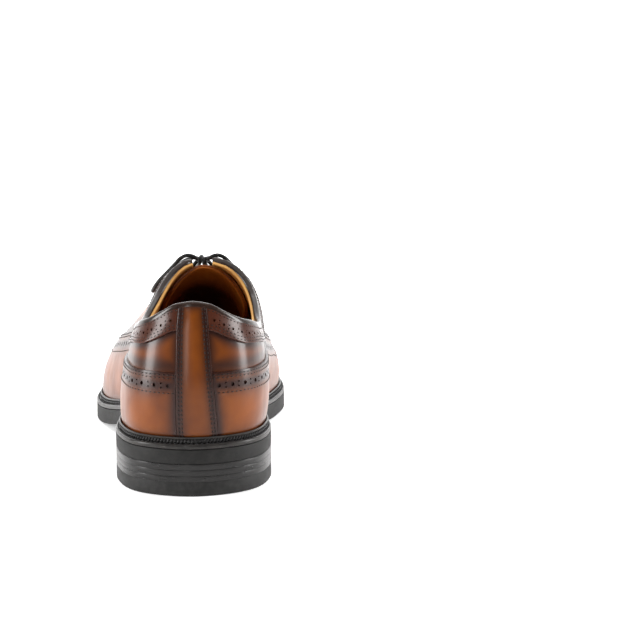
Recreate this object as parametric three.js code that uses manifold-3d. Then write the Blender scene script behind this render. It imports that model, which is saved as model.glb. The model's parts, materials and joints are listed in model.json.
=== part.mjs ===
// A man's longwing derby shoe for the left foot, in millimetres.
// +Z is up, +Y points to the toe and +X to the inner (medial) side of the foot.
// While it is built, y = 0 is the back of the heel and z = 0 is the ground.
import * as THREE from 'three';
import { mergeVertices } from 'three/addons/utils/BufferGeometryUtils.js';
import Module from 'manifold-3d';

const wasm = await Module();
wasm.setup();

// ---- Driving dimensions: the sole seen from above ----
const SOLE_LENGTH = 305;
const HEEL_WIDTH = 78;
const WAIST_LATERAL = 37;
const WAIST_MEDIAL = 33;
const BALL_LATERAL = 57.5;
const BALL_MEDIAL = 55.5;
const TOE_LATERAL = 43;
const TOE_MEDIAL = 49;
const TOE_SWING = 4;
const INSTEP_SWING = 5.8;
const WELT_REACH = 3.9;

// ---- Driving dimensions: the bottom stack, from the ground up ----
const TOP_PIECE_THICKNESS = 6.6;
const LIFT_COUNT = 3;
const LIFT_THICKNESS = 2.7;
const HEEL_LENGTH = 80;
const SOLE_AT_HEEL = 7.2;
const SOLE_AT_BALL = 9;
const TOE_SPRING = 12;
const TREAD_START = 185;
const TREAD_END = 213;
const WELT_THICKNESS = 2.4;
const STORM_RIDGE_HEIGHT = 3.4;
const STORM_RIDGE_WIDTH = 1.4;
const INSOLE_THICKNESS = 2.6;
const SOCK_THICKNESS = 0.8;
const RIB_WIDTH = 2.5;
const RIB_INSET = 6;
const SHANK_WIDTH = 16;
const SHANK_START = 34;
const SHANK_LENGTH = 112;
const NAIL_RADIUS = 1.3;
const NAIL_HEAD_RADIUS = 2.4;
const NAIL_HEAD_THICKNESS = 0.9;
const NAIL_RING_RADIUS = 22;

// ---- Driving dimensions: the heights of the upper, above the ground ----
const BACK_HEIGHT = 94;
const SIDE_DIP_HEIGHT = 76;
const INSTEP_HEIGHT = 98;
const THROAT_HEIGHT = 73;
const TOE_BOX_HEIGHT = 43.5;
const WING_HEIGHT = 60;
const WING_LOW_HEIGHT = 46;
const ANKLE_HEIGHT = 165;

// ---- Driving dimensions: openings and leathers ----
const FACING_GAP = 9.4;
const INSTEP_AT = 115;
const DIP_AT = 66;
const LINING_THICKNESS = 0.9;
const STIFFENER_THICKNESS = 0.8;
const COUNTER_THICKNESS = 1.8;
const VAMP_THICKNESS = 0.9;
const QUARTER_THICKNESS = 0.9;
const OVERLAY_THICKNESS = 1;
const TONGUE_THICKNESS = 1.2;
const TONGUE_LINING_THICKNESS = 0.8;
const BACKSTAY_HALF_WIDTH = 8;
const BACKSTAY_FLARE = 4.5;
const COLLAR_BAND_WIDTH = 11;
const COLLAR_BAND_SIDE_WIDTH = 8;
const BINDING_HEIGHT = 2.2;
const SEAT_CLEARANCE = 0.3;
const LAYER_CLEARANCE = 0.45;
const BASE_CLEARANCE = 0.5;

// ---- Driving dimensions: eyelets and lace ----
const EYELET_ROWS = 5;
const EYELET_FROM_EDGE = 9;
const FIRST_EYELET_AT = 122;
const EYELET_PITCH = 9.6;
const THROAT_FROM_LAST_EYELET = 9.6;
const THROAT_AT = FIRST_EYELET_AT + (EYELET_ROWS - 1) * EYELET_PITCH + THROAT_FROM_LAST_EYELET;
const EYELET_BORE_RADIUS = 1.9;
const EYELET_RIM_WIDTH = 1.9;
const EYELET_THICKNESS = 1.6;
const HOLE_RADIUS = 2.1;
const LACE_DIAMETER = 2.2;
const AGLET_LENGTH = 12;

// ---- Layers of the upper, as distances out from the last ----
const layer = (inner, thickness) => ({ inner, outer: inner + thickness });
const LINING = layer(0, LINING_THICKNESS);
const STIFFENER = layer(LINING.outer + LAYER_CLEARANCE, STIFFENER_THICKNESS);
const COUNTER = layer(LINING.outer + LAYER_CLEARANCE, COUNTER_THICKNESS);
const VAMP = layer(STIFFENER.outer + LAYER_CLEARANCE, VAMP_THICKNESS);
const QUARTER = layer(Math.max(VAMP.outer, COUNTER.outer) + LAYER_CLEARANCE, QUARTER_THICKNESS);
const OVERLAY = layer(QUARTER.outer + LAYER_CLEARANCE, OVERLAY_THICKNESS);
const LACE_ROOM = LACE_DIAMETER + 4 * SEAT_CLEARANCE;
const TONGUE = layer(-LACE_ROOM - TONGUE_THICKNESS, TONGUE_THICKNESS);
const TONGUE_LINING_INNER = TONGUE.inner - SEAT_CLEARANCE - TONGUE_LINING_THICKNESS;
const TONGUE_LINING = layer(TONGUE_LINING_INNER, TONGUE_LINING_THICKNESS);
const FEATHER_INSET = OVERLAY.outer + WELT_REACH;

// ---- Stations of the walk round the sole ----
// The walk runs 0..1 round the heel, 1..2 along the side and 2..3 round the toe,
// and side is -1 on the outer (lateral) side and +1 on the inner (medial) side.
const LATERAL = -1;
const MEDIAL = 1;
const HEEL_CENTRE_AT = HEEL_WIDTH / 2;
const TOE_CENTRE_AT = SOLE_LENGTH - 48;

const lerp = (a, b, u) => (u === 1 ? b : a + (b - a) * u);
const clamp01 = (u) => Math.min(1, Math.max(0, u));
const smoothStep = (u) => clamp01(u) ** 2 * (3 - 2 * clamp01(u));
const walkAt = (y) => 1 + (y - HEEL_CENTRE_AT) / (TOE_CENTRE_AT - HEEL_CENTRE_AT);

// Every layer of the shoe shares these places on the walk and these shares of a meridian,
// so that the facets of one layer lie parallel to the next.
const HEEL_STATIONS = 6;
const SIDE_STATION_PITCH = 19;
const SIDE_STATIONS = Math.round(SOLE_LENGTH / SIDE_STATION_PITCH);
const TOE_STATIONS = 6;
const STATIONS = [
  ...Array.from({ length: HEEL_STATIONS }, (_, i) => i / HEEL_STATIONS),
  ...Array.from({ length: SIDE_STATIONS }, (_, i) => 1 + i / SIDE_STATIONS),
  ...Array.from({ length: TOE_STATIONS + 1 }, (_, i) => 2 + i / TOE_STATIONS),
];
const ROW_COUNT = 7;
const ROWS = Array.from({ length: ROW_COUNT + 1 }, (_, j) => j / ROW_COUNT);

// A smooth curve through [place, value] pairs, level at both ends.
function through(pairs) {
  const slopes = pairs.map((pair, i) => {
    if (i === 0 || i === pairs.length - 1) return 0;
    const before = (pair[1] - pairs[i - 1][1]) / (pair[0] - pairs[i - 1][0]);
    const after = (pairs[i + 1][1] - pair[1]) / (pairs[i + 1][0] - pair[0]);
    return before * after <= 0 ? 0 : (2 * before * after) / (before + after);
  });
  return (x) => {
    if (x <= pairs[0][0]) return pairs[0][1];
    const k = pairs.findIndex((pair) => x <= pair[0]);
    if (k < 0) return pairs[pairs.length - 1][1];
    const [x0, y0] = pairs[k - 1];
    const [x1, y1] = pairs[k];
    const span = x1 - x0;
    const u = (x - x0) / span;
    const rise = y0 * (2 * u ** 3 - 3 * u ** 2 + 1) + y1 * (3 * u ** 2 - 2 * u ** 3);
    return rise + span * (slopes[k - 1] * (u ** 3 - 2 * u ** 2 + u) + slopes[k] * (u ** 3 - u ** 2));
  };
}

// ---- The sole's outline, a closed smooth curve with a round heel ----
function soleOutline() {
  const heelArc = [0, 45, 90, 135, 180].map((degrees) => {
    const angle = THREE.MathUtils.degToRad(degrees);
    const radius = HEEL_WIDTH / 2;
    return new THREE.Vector3(radius * Math.cos(angle), HEEL_CENTRE_AT - radius * Math.sin(angle), 0);
  });
  const edge = [
    [-WAIST_LATERAL, 0.37],
    [-BALL_LATERAL, 0.645],
    [-TOE_LATERAL, 0.86],
    [TOE_SWING - 0.6 * TOE_LATERAL, 0.962],
    [TOE_SWING, 1],
    [TOE_SWING + 0.58 * TOE_MEDIAL, 0.968],
    [TOE_MEDIAL, 0.87],
    [BALL_MEDIAL, 0.71],
    [WAIST_MEDIAL, 0.41],
  ].map(([x, share]) => new THREE.Vector3(x, share * SOLE_LENGTH, 0));
  const curve = new THREE.CatmullRomCurve3([...heelArc, ...edge], true, 'centripetal');
  return curve.getSpacedPoints(360);
}
const OUTLINE = soleOutline();

// Where the meridians of the last start from, seen from above.
const spineX = through([
  [HEEL_CENTRE_AT, 0],
  [DIP_AT, 0.45 * INSTEP_SWING],
  [INSTEP_AT, INSTEP_SWING],
  [TOE_CENTRE_AT, TOE_SWING],
]);

function ray(walk, side) {
  if (walk <= 1) {
    const angle = (clamp01(walk) * Math.PI) / 2;
    return { x: 0, y: HEEL_CENTRE_AT, dx: side * Math.sin(angle), dy: -Math.cos(angle) };
  }
  if (walk < 2) {
    const y = lerp(HEEL_CENTRE_AT, TOE_CENTRE_AT, walk - 1);
    return { x: spineX(y), y, dx: side, dy: 0 };
  }
  const angle = (clamp01(walk - 2) * Math.PI) / 2;
  return { x: TOE_SWING, y: TOE_CENTRE_AT, dx: side * Math.cos(angle), dy: Math.sin(angle) };
}

const reachCache = new Map();
function soleReach(walk, side) {
  const key = `${walk.toFixed(6)} ${walk === 0 || walk === 3 ? 0 : side}`;
  if (reachCache.has(key)) return reachCache.get(key);
  const { x, y, dx, dy } = ray(walk, side);
  let best = 0;
  OUTLINE.forEach((a, i) => {
    const b = OUTLINE[(i + 1) % OUTLINE.length];
    const cross = dx * (b.y - a.y) - dy * (b.x - a.x);
    if (Math.abs(cross) < 1e-9) return;
    const along = ((a.x - x) * (b.y - a.y) - (a.y - y) * (b.x - a.x)) / cross;
    const share = ((a.x - x) * dy - (a.y - y) * dx) / cross;
    if (share >= -1e-6 && share <= 1 + 1e-6 && along > best) best = along;
  });
  reachCache.set(key, best);
  return best;
}
const featherReach = (walk, side) => soleReach(walk, side) - FEATHER_INSET;

// ---- Heights along the shoe ----
const LIFTS_TOP = TOP_PIECE_THICKNESS + LIFT_COUNT * (LIFT_THICKNESS + SEAT_CLEARANCE);
const HEEL_SEAT = LIFTS_TOP + SEAT_CLEARANCE;

const pastHeel = (y) => smoothStep((y - HEEL_LENGTH) / (TREAD_START - HEEL_LENGTH));

function soleBottom(y) {
  if (y <= TREAD_START) return HEEL_SEAT * (1 - pastHeel(y));
  if (y <= TREAD_END) return 0;
  return TOE_SPRING * ((y - TREAD_END) / (SOLE_LENGTH - TREAD_END)) ** 2;
}
const soleThickness = (y) => lerp(SOLE_AT_HEEL, SOLE_AT_BALL, pastHeel(y));
const soleTop = (y) => soleBottom(y) + soleThickness(y);
const weltBottom = (y) => soleTop(y) + SEAT_CLEARANCE;
const weltTop = (y) => weltBottom(y) + WELT_THICKNESS;
const featherHeight = (y) => weltTop(y) + BASE_CLEARANCE;

// The last's top line: very high over the collar mouth, where nothing reaches it.
const ridgeHeight = through([
  [HEEL_CENTRE_AT, ANKLE_HEIGHT],
  [60, ANKLE_HEIGHT - 4],
  [80, lerp(INSTEP_HEIGHT, ANKLE_HEIGHT, 0.6)],
  [100, lerp(INSTEP_HEIGHT, ANKLE_HEIGHT, 0.18)],
  [INSTEP_AT, INSTEP_HEIGHT],
  [(INSTEP_AT + THROAT_AT) / 2, lerp(INSTEP_HEIGHT, THROAT_HEIGHT, 0.54)],
  [THROAT_AT, THROAT_HEIGHT],
  [205, lerp(THROAT_HEIGHT, TOE_BOX_HEIGHT, 0.55)],
  [235, lerp(THROAT_HEIGHT, TOE_BOX_HEIGHT, 0.87)],
  [TOE_CENTRE_AT, TOE_BOX_HEIGHT - 1],
]);
const RIDGE_SLOPE_AT_TOE = -0.16;
const ridgeSlope = (y) => ridgeHeight(y + 0.5) - ridgeHeight(y - 0.5);

// ---- The last: one meridian per place on the walk, a cubic from feather edge to top line ----
const bulge = {
  [LATERAL]: through([[0, 9], [1, 8], [1.34, 5], [1.7, 3], [2, 2], [3, 2]]),
  [MEDIAL]: through([[0, 9], [1, 10], [1.36, 20], [1.7, 6], [2, 2], [3, 2]]),
};
const bulgeRise = through([[0, 24], [1, 26], [1.4, 32], [1.75, 22], [2, 17], [3, 15]]);
const crownReach = {
  [LATERAL]: through([
    [0, 21], [0.55, 17], [1, 11], [1.2, 11], [1.34, 20], [1.55, 33], [1.75, 38], [2, 30], [3, 24],
  ]),
  [MEDIAL]: through([[0, 21], [1, 22], [1.34, 27], [1.55, 34], [1.75, 38], [2, 30], [3, 24]]),
};
const crownDrop = through([
  [1, 45], [walkAt(60), 45], [walkAt(80), 26], [walkAt(100), 5], [walkAt(INSTEP_AT), 0],
]);

function meridian(walk, side) {
  const { x, y, dx, dy } = ray(walk, side);
  const reach = featherReach(walk, side);
  const base = featherHeight(y + dy * reach);
  const top = walk <= 1 ? ANKLE_HEIGHT : ridgeHeight(y);
  const fall = walk > 2 ? RIDGE_SLOPE_AT_TOE * dy * crownReach[side](walk) : 0;
  return {
    x, y, dx, dy,
    r: [reach, reach + bulge[side](walk), crownReach[side](walk), 0],
    z: [base, base + bulgeRise(walk), top - crownDrop(walk) + fall, top],
  };
}
const bezier = (p, t) => {
  const s = 1 - t;
  return s ** 3 * p[0] + 3 * s * s * t * p[1] + 3 * s * t * t * p[2] + t ** 3 * p[3];
};
function lastPoint(walk, t, side) {
  const m = meridian(walk, side);
  const r = bezier(m.r, t);
  return new THREE.Vector3(m.x + m.dx * r, m.y + m.dy * r, bezier(m.z, t));
}

const BASE_BLEND = 8;
function lastNormal(walk, t, side) {
  const { y, dx, dy } = ray(walk, side);
  if (t === 1) {
    const slope = walk >= 2 ? RIDGE_SLOPE_AT_TOE : ridgeSlope(y);
    return new THREE.Vector3(0, -slope, 1).normalize();
  }
  const w = Math.min(walk > 2 ? Math.min(t, 0.97) : t, 0.995);
  const step = 0.004;
  const alongWalk = lastPoint(Math.min(3, walk + step), w, side)
    .sub(lastPoint(Math.max(0, walk - step), w, side));
  const alongT = lastPoint(walk, w + step, side).sub(lastPoint(walk, Math.max(0, w - step), side));
  const normal = alongWalk.cross(alongT).multiplyScalar(side).normalize();
  if (walk === 0 || walk === 3) normal.x = 0;
  const level = new THREE.Vector3(dx, dy, 0);
  const m = meridian(walk, side);
  const rise = clamp01((bezier(m.z, t) - m.z[0]) / BASE_BLEND);
  return level.lerp(normal.normalize(), rise).normalize();
}
// A point a distance out from the last; close to the sole it keeps to the welt's own slope.
function smoothSkin(walk, t, side, out) {
  const point = lastPoint(walk, t, side);
  const baseY = point.y;
  const m = meridian(walk, side);
  const rise = clamp01((point.z - m.z[0]) / BASE_BLEND);
  point.addScaledVector(lastNormal(walk, t, side), out);
  point.z += (featherHeight(point.y) - featherHeight(baseY)) * (1 - rise);
  return point;
}

const knotCache = new Map();
function knot(i, j, side, out) {
  const key = `${i} ${j} ${side} ${out}`;
  if (!knotCache.has(key)) knotCache.set(key, smoothSkin(STATIONS[i], ROWS[j], side, out));
  return knotCache.get(key);
}
const cellOf = (grid, value) => {
  const k = Math.min(grid.length - 2, Math.max(0, grid.findIndex((edge) => value < edge) - 1));
  const cell = value >= grid[grid.length - 1] ? grid.length - 2 : k;
  return [cell, (value - grid[cell]) / (grid[cell + 1] - grid[cell])];
};
// The same point on the faceted skin that all layers share.
function skin(walk, t, side, out) {
  const [i, u] = cellOf(STATIONS, walk);
  const [j, v] = cellOf(ROWS, t);
  const low = knot(i, j, side, out).clone().lerp(knot(i + 1, j, side, out), u);
  const high = knot(i, j + 1, side, out).clone().lerp(knot(i + 1, j + 1, side, out), u);
  return v === 1 ? high : low.lerp(high, v);
}

// ---- Finding places on the last ----
function bisect(low, high, isBelow) {
  for (let i = 0; i < 30; i += 1) {
    const middle = (low + high) / 2;
    if (isBelow(middle)) low = middle;
    else high = middle;
  }
  return (low + high) / 2;
}
const tAtHeight = (walk, side, z) => {
  const m = meridian(walk, side);
  return bisect(0, 1, (t) => bezier(m.z, t) < z);
};
const tAtReach = (walk, side, r) => {
  const m = meridian(walk, side);
  return bisect(0.4, 1, (t) => bezier(m.r, t) > r);
};

const topLineHeight = through([
  [0, BACK_HEIGHT], [0.18, BACK_HEIGHT - 1.2], [0.35, lerp(SIDE_DIP_HEIGHT, BACK_HEIGHT, 0.72)],
  [0.55, lerp(SIDE_DIP_HEIGHT, BACK_HEIGHT, 0.48)], [1, lerp(SIDE_DIP_HEIGHT, BACK_HEIGHT, 0.18)],
  [walkAt(DIP_AT), SIDE_DIP_HEIGHT],
  [walkAt(92), lerp(SIDE_DIP_HEIGHT, INSTEP_HEIGHT, 0.42)],
  [walkAt(INSTEP_AT), INSTEP_HEIGHT + 6],
]);
const FACING_REACH = FACING_GAP / 2;
const COLLAR_END = walkAt(INSTEP_AT - 3);
const COLLAR_BAND_END = walkAt(INSTEP_AT - 9);
// Closer columns where a border climbs steeply: at the collar's front and at the throat.
const columnsBetween = (start, end, count) =>
  Array.from({ length: count }, (_, i) => walkAt(lerp(start, end, i / (count - 1))));
const COLLAR_COLUMNS = columnsBetween(INSTEP_AT - 21, INSTEP_AT - 3, 8);
const topEdge = (walk, side) =>
  Math.min(tAtHeight(walk, side, topLineHeight(walk)), tAtReach(walk, side, FACING_REACH));
const UPPER_TOP_DROP = BINDING_HEIGHT + SEAT_CLEARANCE;
const collarBandWidth = through([
  [0, COLLAR_BAND_WIDTH], [0.35, COLLAR_BAND_WIDTH], [1, COLLAR_BAND_SIDE_WIDTH],
]);
const belowTopEdge = (walk, side, drop) => {
  const m = meridian(walk, side);
  const edge = topEdge(walk, side);
  const from = new THREE.Vector2(bezier(m.r, edge), bezier(m.z, edge));
  return bisect(0, edge, (t) => from.distanceTo(new THREE.Vector2(bezier(m.r, t), bezier(m.z, t))) > drop);
};

// ---- Making meshes ----
function geometryFrom(corners) {
  const geometry = new THREE.BufferGeometry();
  const numbers = corners.flatMap((v) => [v.x, v.y, v.z]);
  geometry.setAttribute('position', new THREE.Float32BufferAttribute(numbers, 3));
  const merged = mergeVertices(geometry, 1e-4);
  const index = [];
  const given = merged.index.array;
  for (let i = 0; i < given.length; i += 3) {
    const [a, b, c] = [given[i], given[i + 1], given[i + 2]];
    if (a !== b && b !== c && c !== a) index.push(a, b, c);
  }
  merged.setIndex(index);
  return merged;
}

function quad(corners, a, b, c, d) {
  corners.push(a, b, c, a, c, d);
}

const LEAST_COLUMN = 0.004;

// A sheet of leather that follows the last between two places on the walk, which may
// depend on t. border(walk, side) gives the meridian shares of its lower and upper edge.
function panelGeometry({ sides = [LATERAL, MEDIAL], from, to, border, inner, outer, extra = [] }) {
  const corners = [];
  const both = sides.length === 2;
  for (const side of sides) {
    const edgeWalk = (edge) => (t) => (typeof edge === 'function' ? edge(t, side) : edge);
    const [first, last] = [edgeWalk(from), edgeWalk(to)];
    const inside = [...STATIONS, ...extra].sort((a, b) => a - b)
      .filter((walk) => walk > Math.min(first(0), first(1)) + LEAST_COLUMN)
      .filter((walk) => walk < Math.max(last(0), last(1)) - LEAST_COLUMN)
      .map((walk) => (t) => Math.min(Math.max(walk, first(t) + LEAST_COLUMN), last(t) - LEAST_COLUMN));
    const columns = [first, ...inside, last].map((walkOf) => {
      const [t0, t1] = border(walkOf(0.5), side);
      const shares = [...ROWS.map((t) => Math.min(t1, Math.max(t0, t)))];
      shares[0] = t0;
      shares[ROW_COUNT] = t1;
      return shares.map((t) => [walkOf(t), t]);
    });
    const grid = (out) => columns.map((column) => column.map(([walk, t]) => skin(walk, t, side, out)));
    const [over, under] = [grid(outer), grid(inner)];
    const faces = [];
    const k = columns.length - 1;
    for (let i = 0; i < k; i += 1) {
      for (let j = 0; j < ROW_COUNT; j += 1) {
        quad(faces, over[i][j], over[i + 1][j], over[i + 1][j + 1], over[i][j + 1]);
        quad(faces, under[i][j], under[i][j + 1], under[i + 1][j + 1], under[i + 1][j]);
      }
      quad(faces, over[i + 1][0], over[i][0], under[i][0], under[i + 1][0]);
      const sealed = both && columns[i][ROW_COUNT][1] === 1 && columns[i + 1][ROW_COUNT][1] === 1;
      if (!sealed) {
        quad(faces, over[i][ROW_COUNT], over[i + 1][ROW_COUNT], under[i + 1][ROW_COUNT], under[i][ROW_COUNT]);
      }
    }
    for (let j = 0; j < ROW_COUNT; j += 1) {
      if (!(both && from === 0)) quad(faces, over[0][j], over[0][j + 1], under[0][j + 1], under[0][j]);
      if (!(both && to === 3)) quad(faces, over[k][j + 1], over[k][j], under[k][j], under[k][j + 1]);
    }
    for (let i = 0; i < faces.length; i += 3) {
      if (side === MEDIAL) corners.push(faces[i], faces[i + 1], faces[i + 2]);
      else corners.push(faces[i], faces[i + 2], faces[i + 1]);
    }
  }
  return geometryFrom(corners);
}

// The point at a distance out from the spine, at the height that a function of y gives.
function pointOn(walk, side, reach, heightAt) {
  const { x, y, dx, dy } = ray(walk, side);
  return new THREE.Vector3(x + dx * reach, y + dy * reach, heightAt(y + dy * reach));
}

// A flat layer of the bottom, inset from the sole's edge, between two height functions.
function slabGeometry({ from = 0, to = 3, inset, low, high }) {
  const walks = [from, ...STATIONS.filter((walk) => walk > from + 0.01 && walk < to - 0.01), to];
  const loop = (side, heightAt) =>
    walks.map((walk) => pointOn(walk, side, soleReach(walk, side) - inset, heightAt));
  const [lowL, lowM] = [loop(LATERAL, low), loop(MEDIAL, low)];
  const [highL, highM] = [loop(LATERAL, high), loop(MEDIAL, high)];
  const corners = [];
  const last = walks.length - 1;
  for (let i = 0; i < last; i += 1) {
    quad(corners, highL[i], highM[i], highM[i + 1], highL[i + 1]);
    quad(corners, lowL[i], lowL[i + 1], lowM[i + 1], lowM[i]);
    quad(corners, lowM[i], lowM[i + 1], highM[i + 1], highM[i]);
    quad(corners, lowL[i + 1], lowL[i], highL[i], highL[i + 1]);
  }
  quad(corners, lowL[0], lowM[0], highM[0], highL[0]);
  quad(corners, lowM[last], lowL[last], highL[last], highM[last]);
  return geometryFrom(corners);
}

// A closed hoop round the shoe. Its section is a list of [reach, height function].
function hoopGeometry(section) {
  const there = STATIONS.map((walk) => [walk, LATERAL]);
  const back = STATIONS.slice(1, -1).reverse().map((walk) => [walk, MEDIAL]);
  const rings = [...there, ...back].map(([walk, side]) =>
    section(walk, side).map(([reach, heightAt]) => pointOn(walk, side, reach, heightAt)));
  const corners = [];
  rings.forEach((ring, i) => {
    const next = rings[(i + 1) % rings.length];
    ring.forEach((point, k) => {
      const l = (k + 1) % ring.length;
      quad(corners, point, ring[l], next[l], next[k]);
    });
  });
  return geometryFrom(corners);
}

// ---- Joining and cutting ----
function toSolid(geometry) {
  const plain = new THREE.BufferGeometry();
  plain.setAttribute('position', geometry.getAttribute('position').clone());
  if (geometry.index) plain.setIndex(geometry.index.clone());
  const merged = mergeVertices(plain, 1e-4);
  return new wasm.Manifold(new wasm.Mesh({
    numProp: 3,
    vertProperties: new Float32Array(merged.getAttribute('position').array),
    triVerts: new Uint32Array(merged.index.array),
  }));
}
function fromSolid(solid) {
  const mesh = solid.getMesh();
  const geometry = new THREE.BufferGeometry();
  geometry.setAttribute('position', new THREE.BufferAttribute(new Float32Array(mesh.vertProperties), 3));
  geometry.setIndex(new THREE.BufferAttribute(new Uint32Array(mesh.triVerts), 1));
  return geometry;
}
function cut(geometry, cutters) {
  return fromSolid(cutters.reduce((solid, cutter) => solid.subtract(toSolid(cutter)), toSolid(geometry)));
}

// ---- The assembly ----
const shoe = new THREE.Group();

const COLOURS = {
  tan: [0x8a4a1c, 0.35],
  burnish: [0x52281c, 0.4],
  lining: [0xa8612a, 0.6],
  binding: [0x231a17, 0.4],
  rubber: [0x383634, 0.75],
  stack: [0x262422, 0.35],
  welt: [0x1c1b1a, 0.6],
  board: [0xb08a5c, 0.8],
  cork: [0x9a7040, 0.9],
  stiffener: [0xc8b890, 0.8],
  lace: [0x121212, 0.5],
};
const METALS = {
  steel: [0x9a9a9a, 0.4],
  brass: [0x8a7442, 0.4],
};
function finish(name) {
  const metal = name in METALS;
  const [color, roughness] = metal ? METALS[name] : COLOURS[name];
  return new THREE.MeshStandardMaterial({ color, roughness, metalness: metal ? 0.9 : 0 });
}
function add(name, geometry, finishName) {
  geometry.computeVertexNormals();
  const mesh = new THREE.Mesh(geometry, finish(finishName));
  mesh.name = name;
  shoe.add(mesh);
  return mesh;
}

// ---- Bottom: heel, sole, welt and what lies inside ----
const HEEL_END = walkAt(HEEL_LENGTH);
const NAIL_COUNT = 5;
const nailPlaces = Array.from({ length: NAIL_COUNT }, (_, i) => {
  const angle = Math.PI * (1 + i / (NAIL_COUNT - 1));
  return [NAIL_RING_RADIUS * Math.cos(angle), HEEL_CENTRE_AT + NAIL_RING_RADIUS * Math.sin(angle)];
});
const NAIL_SEAT = TOP_PIECE_THICKNESS + SEAT_CLEARANCE;
const NAIL_TIP = HEEL_SEAT + 0.75 * SOLE_AT_HEEL;

function uprightCylinder(radius, bottom, top, x, y, sides) {
  const geometry = new THREE.CylinderGeometry(radius, radius, top - bottom, sides);
  geometry.rotateX(Math.PI / 2);
  geometry.translate(x, y, (bottom + top) / 2);
  return geometry;
}
const NAIL_SIDES = 6;
function nailHoles(bottom, top) {
  return nailPlaces.map(([x, y]) =>
    uprightCylinder(NAIL_RADIUS + SEAT_CLEARANCE, bottom, top, x, y, NAIL_SIDES));
}

function addHeel() {
  add('top_piece', slabGeometry({
    to: HEEL_END, inset: 0, low: () => 0, high: () => TOP_PIECE_THICKNESS,
  }), 'rubber');
  for (let k = 0; k < LIFT_COUNT; k += 1) {
    const bottom = TOP_PIECE_THICKNESS + SEAT_CLEARANCE + k * (LIFT_THICKNESS + SEAT_CLEARANCE);
    const top = bottom + LIFT_THICKNESS;
    const plain = slabGeometry({ to: HEEL_END, inset: 0, low: () => bottom, high: () => top });
    const holes = nailHoles(bottom - 1, top + 1);
    const headTop = bottom + NAIL_HEAD_THICKNESS + SEAT_CLEARANCE;
    const recesses = nailPlaces.map(([x, y]) =>
      uprightCylinder(NAIL_HEAD_RADIUS + SEAT_CLEARANCE, bottom - 1, headTop, x, y, NAIL_SIDES));
    add(`heel_lift_${k + 1}`, cut(plain, k === 0 ? [...holes, ...recesses] : holes), 'stack');
  }
  nailPlaces.forEach(([x, y], k) => {
    const points = [
      new THREE.Vector2(0, NAIL_SEAT),
      new THREE.Vector2(NAIL_HEAD_RADIUS, NAIL_SEAT),
      new THREE.Vector2(NAIL_HEAD_RADIUS, NAIL_SEAT + NAIL_HEAD_THICKNESS),
      new THREE.Vector2(NAIL_RADIUS, NAIL_SEAT + NAIL_HEAD_THICKNESS),
      new THREE.Vector2(NAIL_RADIUS, NAIL_TIP - 2 * NAIL_RADIUS),
      new THREE.Vector2(0, NAIL_TIP),
    ];
    const geometry = new THREE.LatheGeometry(points, NAIL_SIDES);
    geometry.rotateX(Math.PI / 2);
    geometry.translate(x, y, 0);
    add(`heel_nail_${k + 1}`, geometry, 'steel');
  });
}

function addSole() {
  const plain = slabGeometry({ inset: 0, low: soleBottom, high: soleTop });
  add('outsole', cut(plain, nailHoles(HEEL_SEAT - 1, NAIL_TIP + SEAT_CLEARANCE)), 'rubber');
  add('welt', hoopGeometry((walk, side) => {
    const sole = soleReach(walk, side);
    const feather = featherReach(walk, side);
    const upperOut = OVERLAY.outer + SEAT_CLEARANCE;
    const lean = (bulge[side](walk) / bulgeRise(walk)) * STORM_RIDGE_HEIGHT;
    const ridgeTop = (y) => weltTop(y) + STORM_RIDGE_HEIGHT;
    return [
      [feather + 1, weltBottom],
      [sole, weltBottom],
      [sole, weltTop],
      [feather + upperOut + STORM_RIDGE_WIDTH + SEAT_CLEARANCE, weltTop],
      [feather + upperOut + STORM_RIDGE_WIDTH + lean, (y) => ridgeTop(y) - 0.6],
      [feather + upperOut + 0.2 + lean, ridgeTop],
      [feather + upperOut, weltTop],
      [feather + 1, weltTop],
    ];
  }), 'welt');
}

function addInside() {
  const insoleInset = FEATHER_INSET + 0.4;
  const insoleTop = (y) => featherHeight(y) + INSOLE_THICKNESS;
  const sockBottom = (y) => insoleTop(y) + SEAT_CLEARANCE;
  add('insole', slabGeometry({ inset: insoleInset, low: featherHeight, high: insoleTop }), 'board');
  add('sock_liner', slabGeometry({
    inset: insoleInset + SEAT_CLEARANCE, low: sockBottom, high: (y) => sockBottom(y) + SOCK_THICKNESS,
  }), 'lining');
  add('insole_rib', hoopGeometry((walk, side) => {
    const outer = featherReach(walk, side) - RIB_INSET;
    return [
      [outer - RIB_WIDTH, weltBottom],
      [outer, weltBottom],
      [outer, weltTop],
      [outer - RIB_WIDTH, weltTop],
    ];
  }), 'board');
  const shankEnd = SHANK_START + SHANK_LENGTH;
  add('cork_filler', slabGeometry({
    from: walkAt(shankEnd + 3), inset: FEATHER_INSET + RIB_INSET + RIB_WIDTH + SEAT_CLEARANCE,
    low: weltBottom, high: weltTop,
  }), 'cork');
  const shankCorners = [];
  const shankSteps = 10;
  const place = (i, side, height) => {
    const y = lerp(SHANK_START, shankEnd, i / shankSteps);
    return new THREE.Vector3(spineX(y) / 2 + (side * SHANK_WIDTH) / 2, y, height(y));
  };
  for (let i = 0; i < shankSteps; i += 1) {
    const ring = (k) => [
      place(k, LATERAL, weltBottom),
      place(k, MEDIAL, weltBottom),
      place(k, MEDIAL, weltTop),
      place(k, LATERAL, weltTop),
    ];
    const [near, far] = [ring(i), ring(i + 1)];
    near.forEach((point, k) => quad(shankCorners, point, near[(k + 1) % 4], far[(k + 1) % 4], far[k]));
    if (i === 0) quad(shankCorners, near[0], near[3], near[2], near[1]);
    if (i === shankSteps - 1) quad(shankCorners, far[0], far[1], far[2], far[3]);
  }
  add('shank', geometryFrom(shankCorners.reverse()), 'steel');
}

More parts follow.
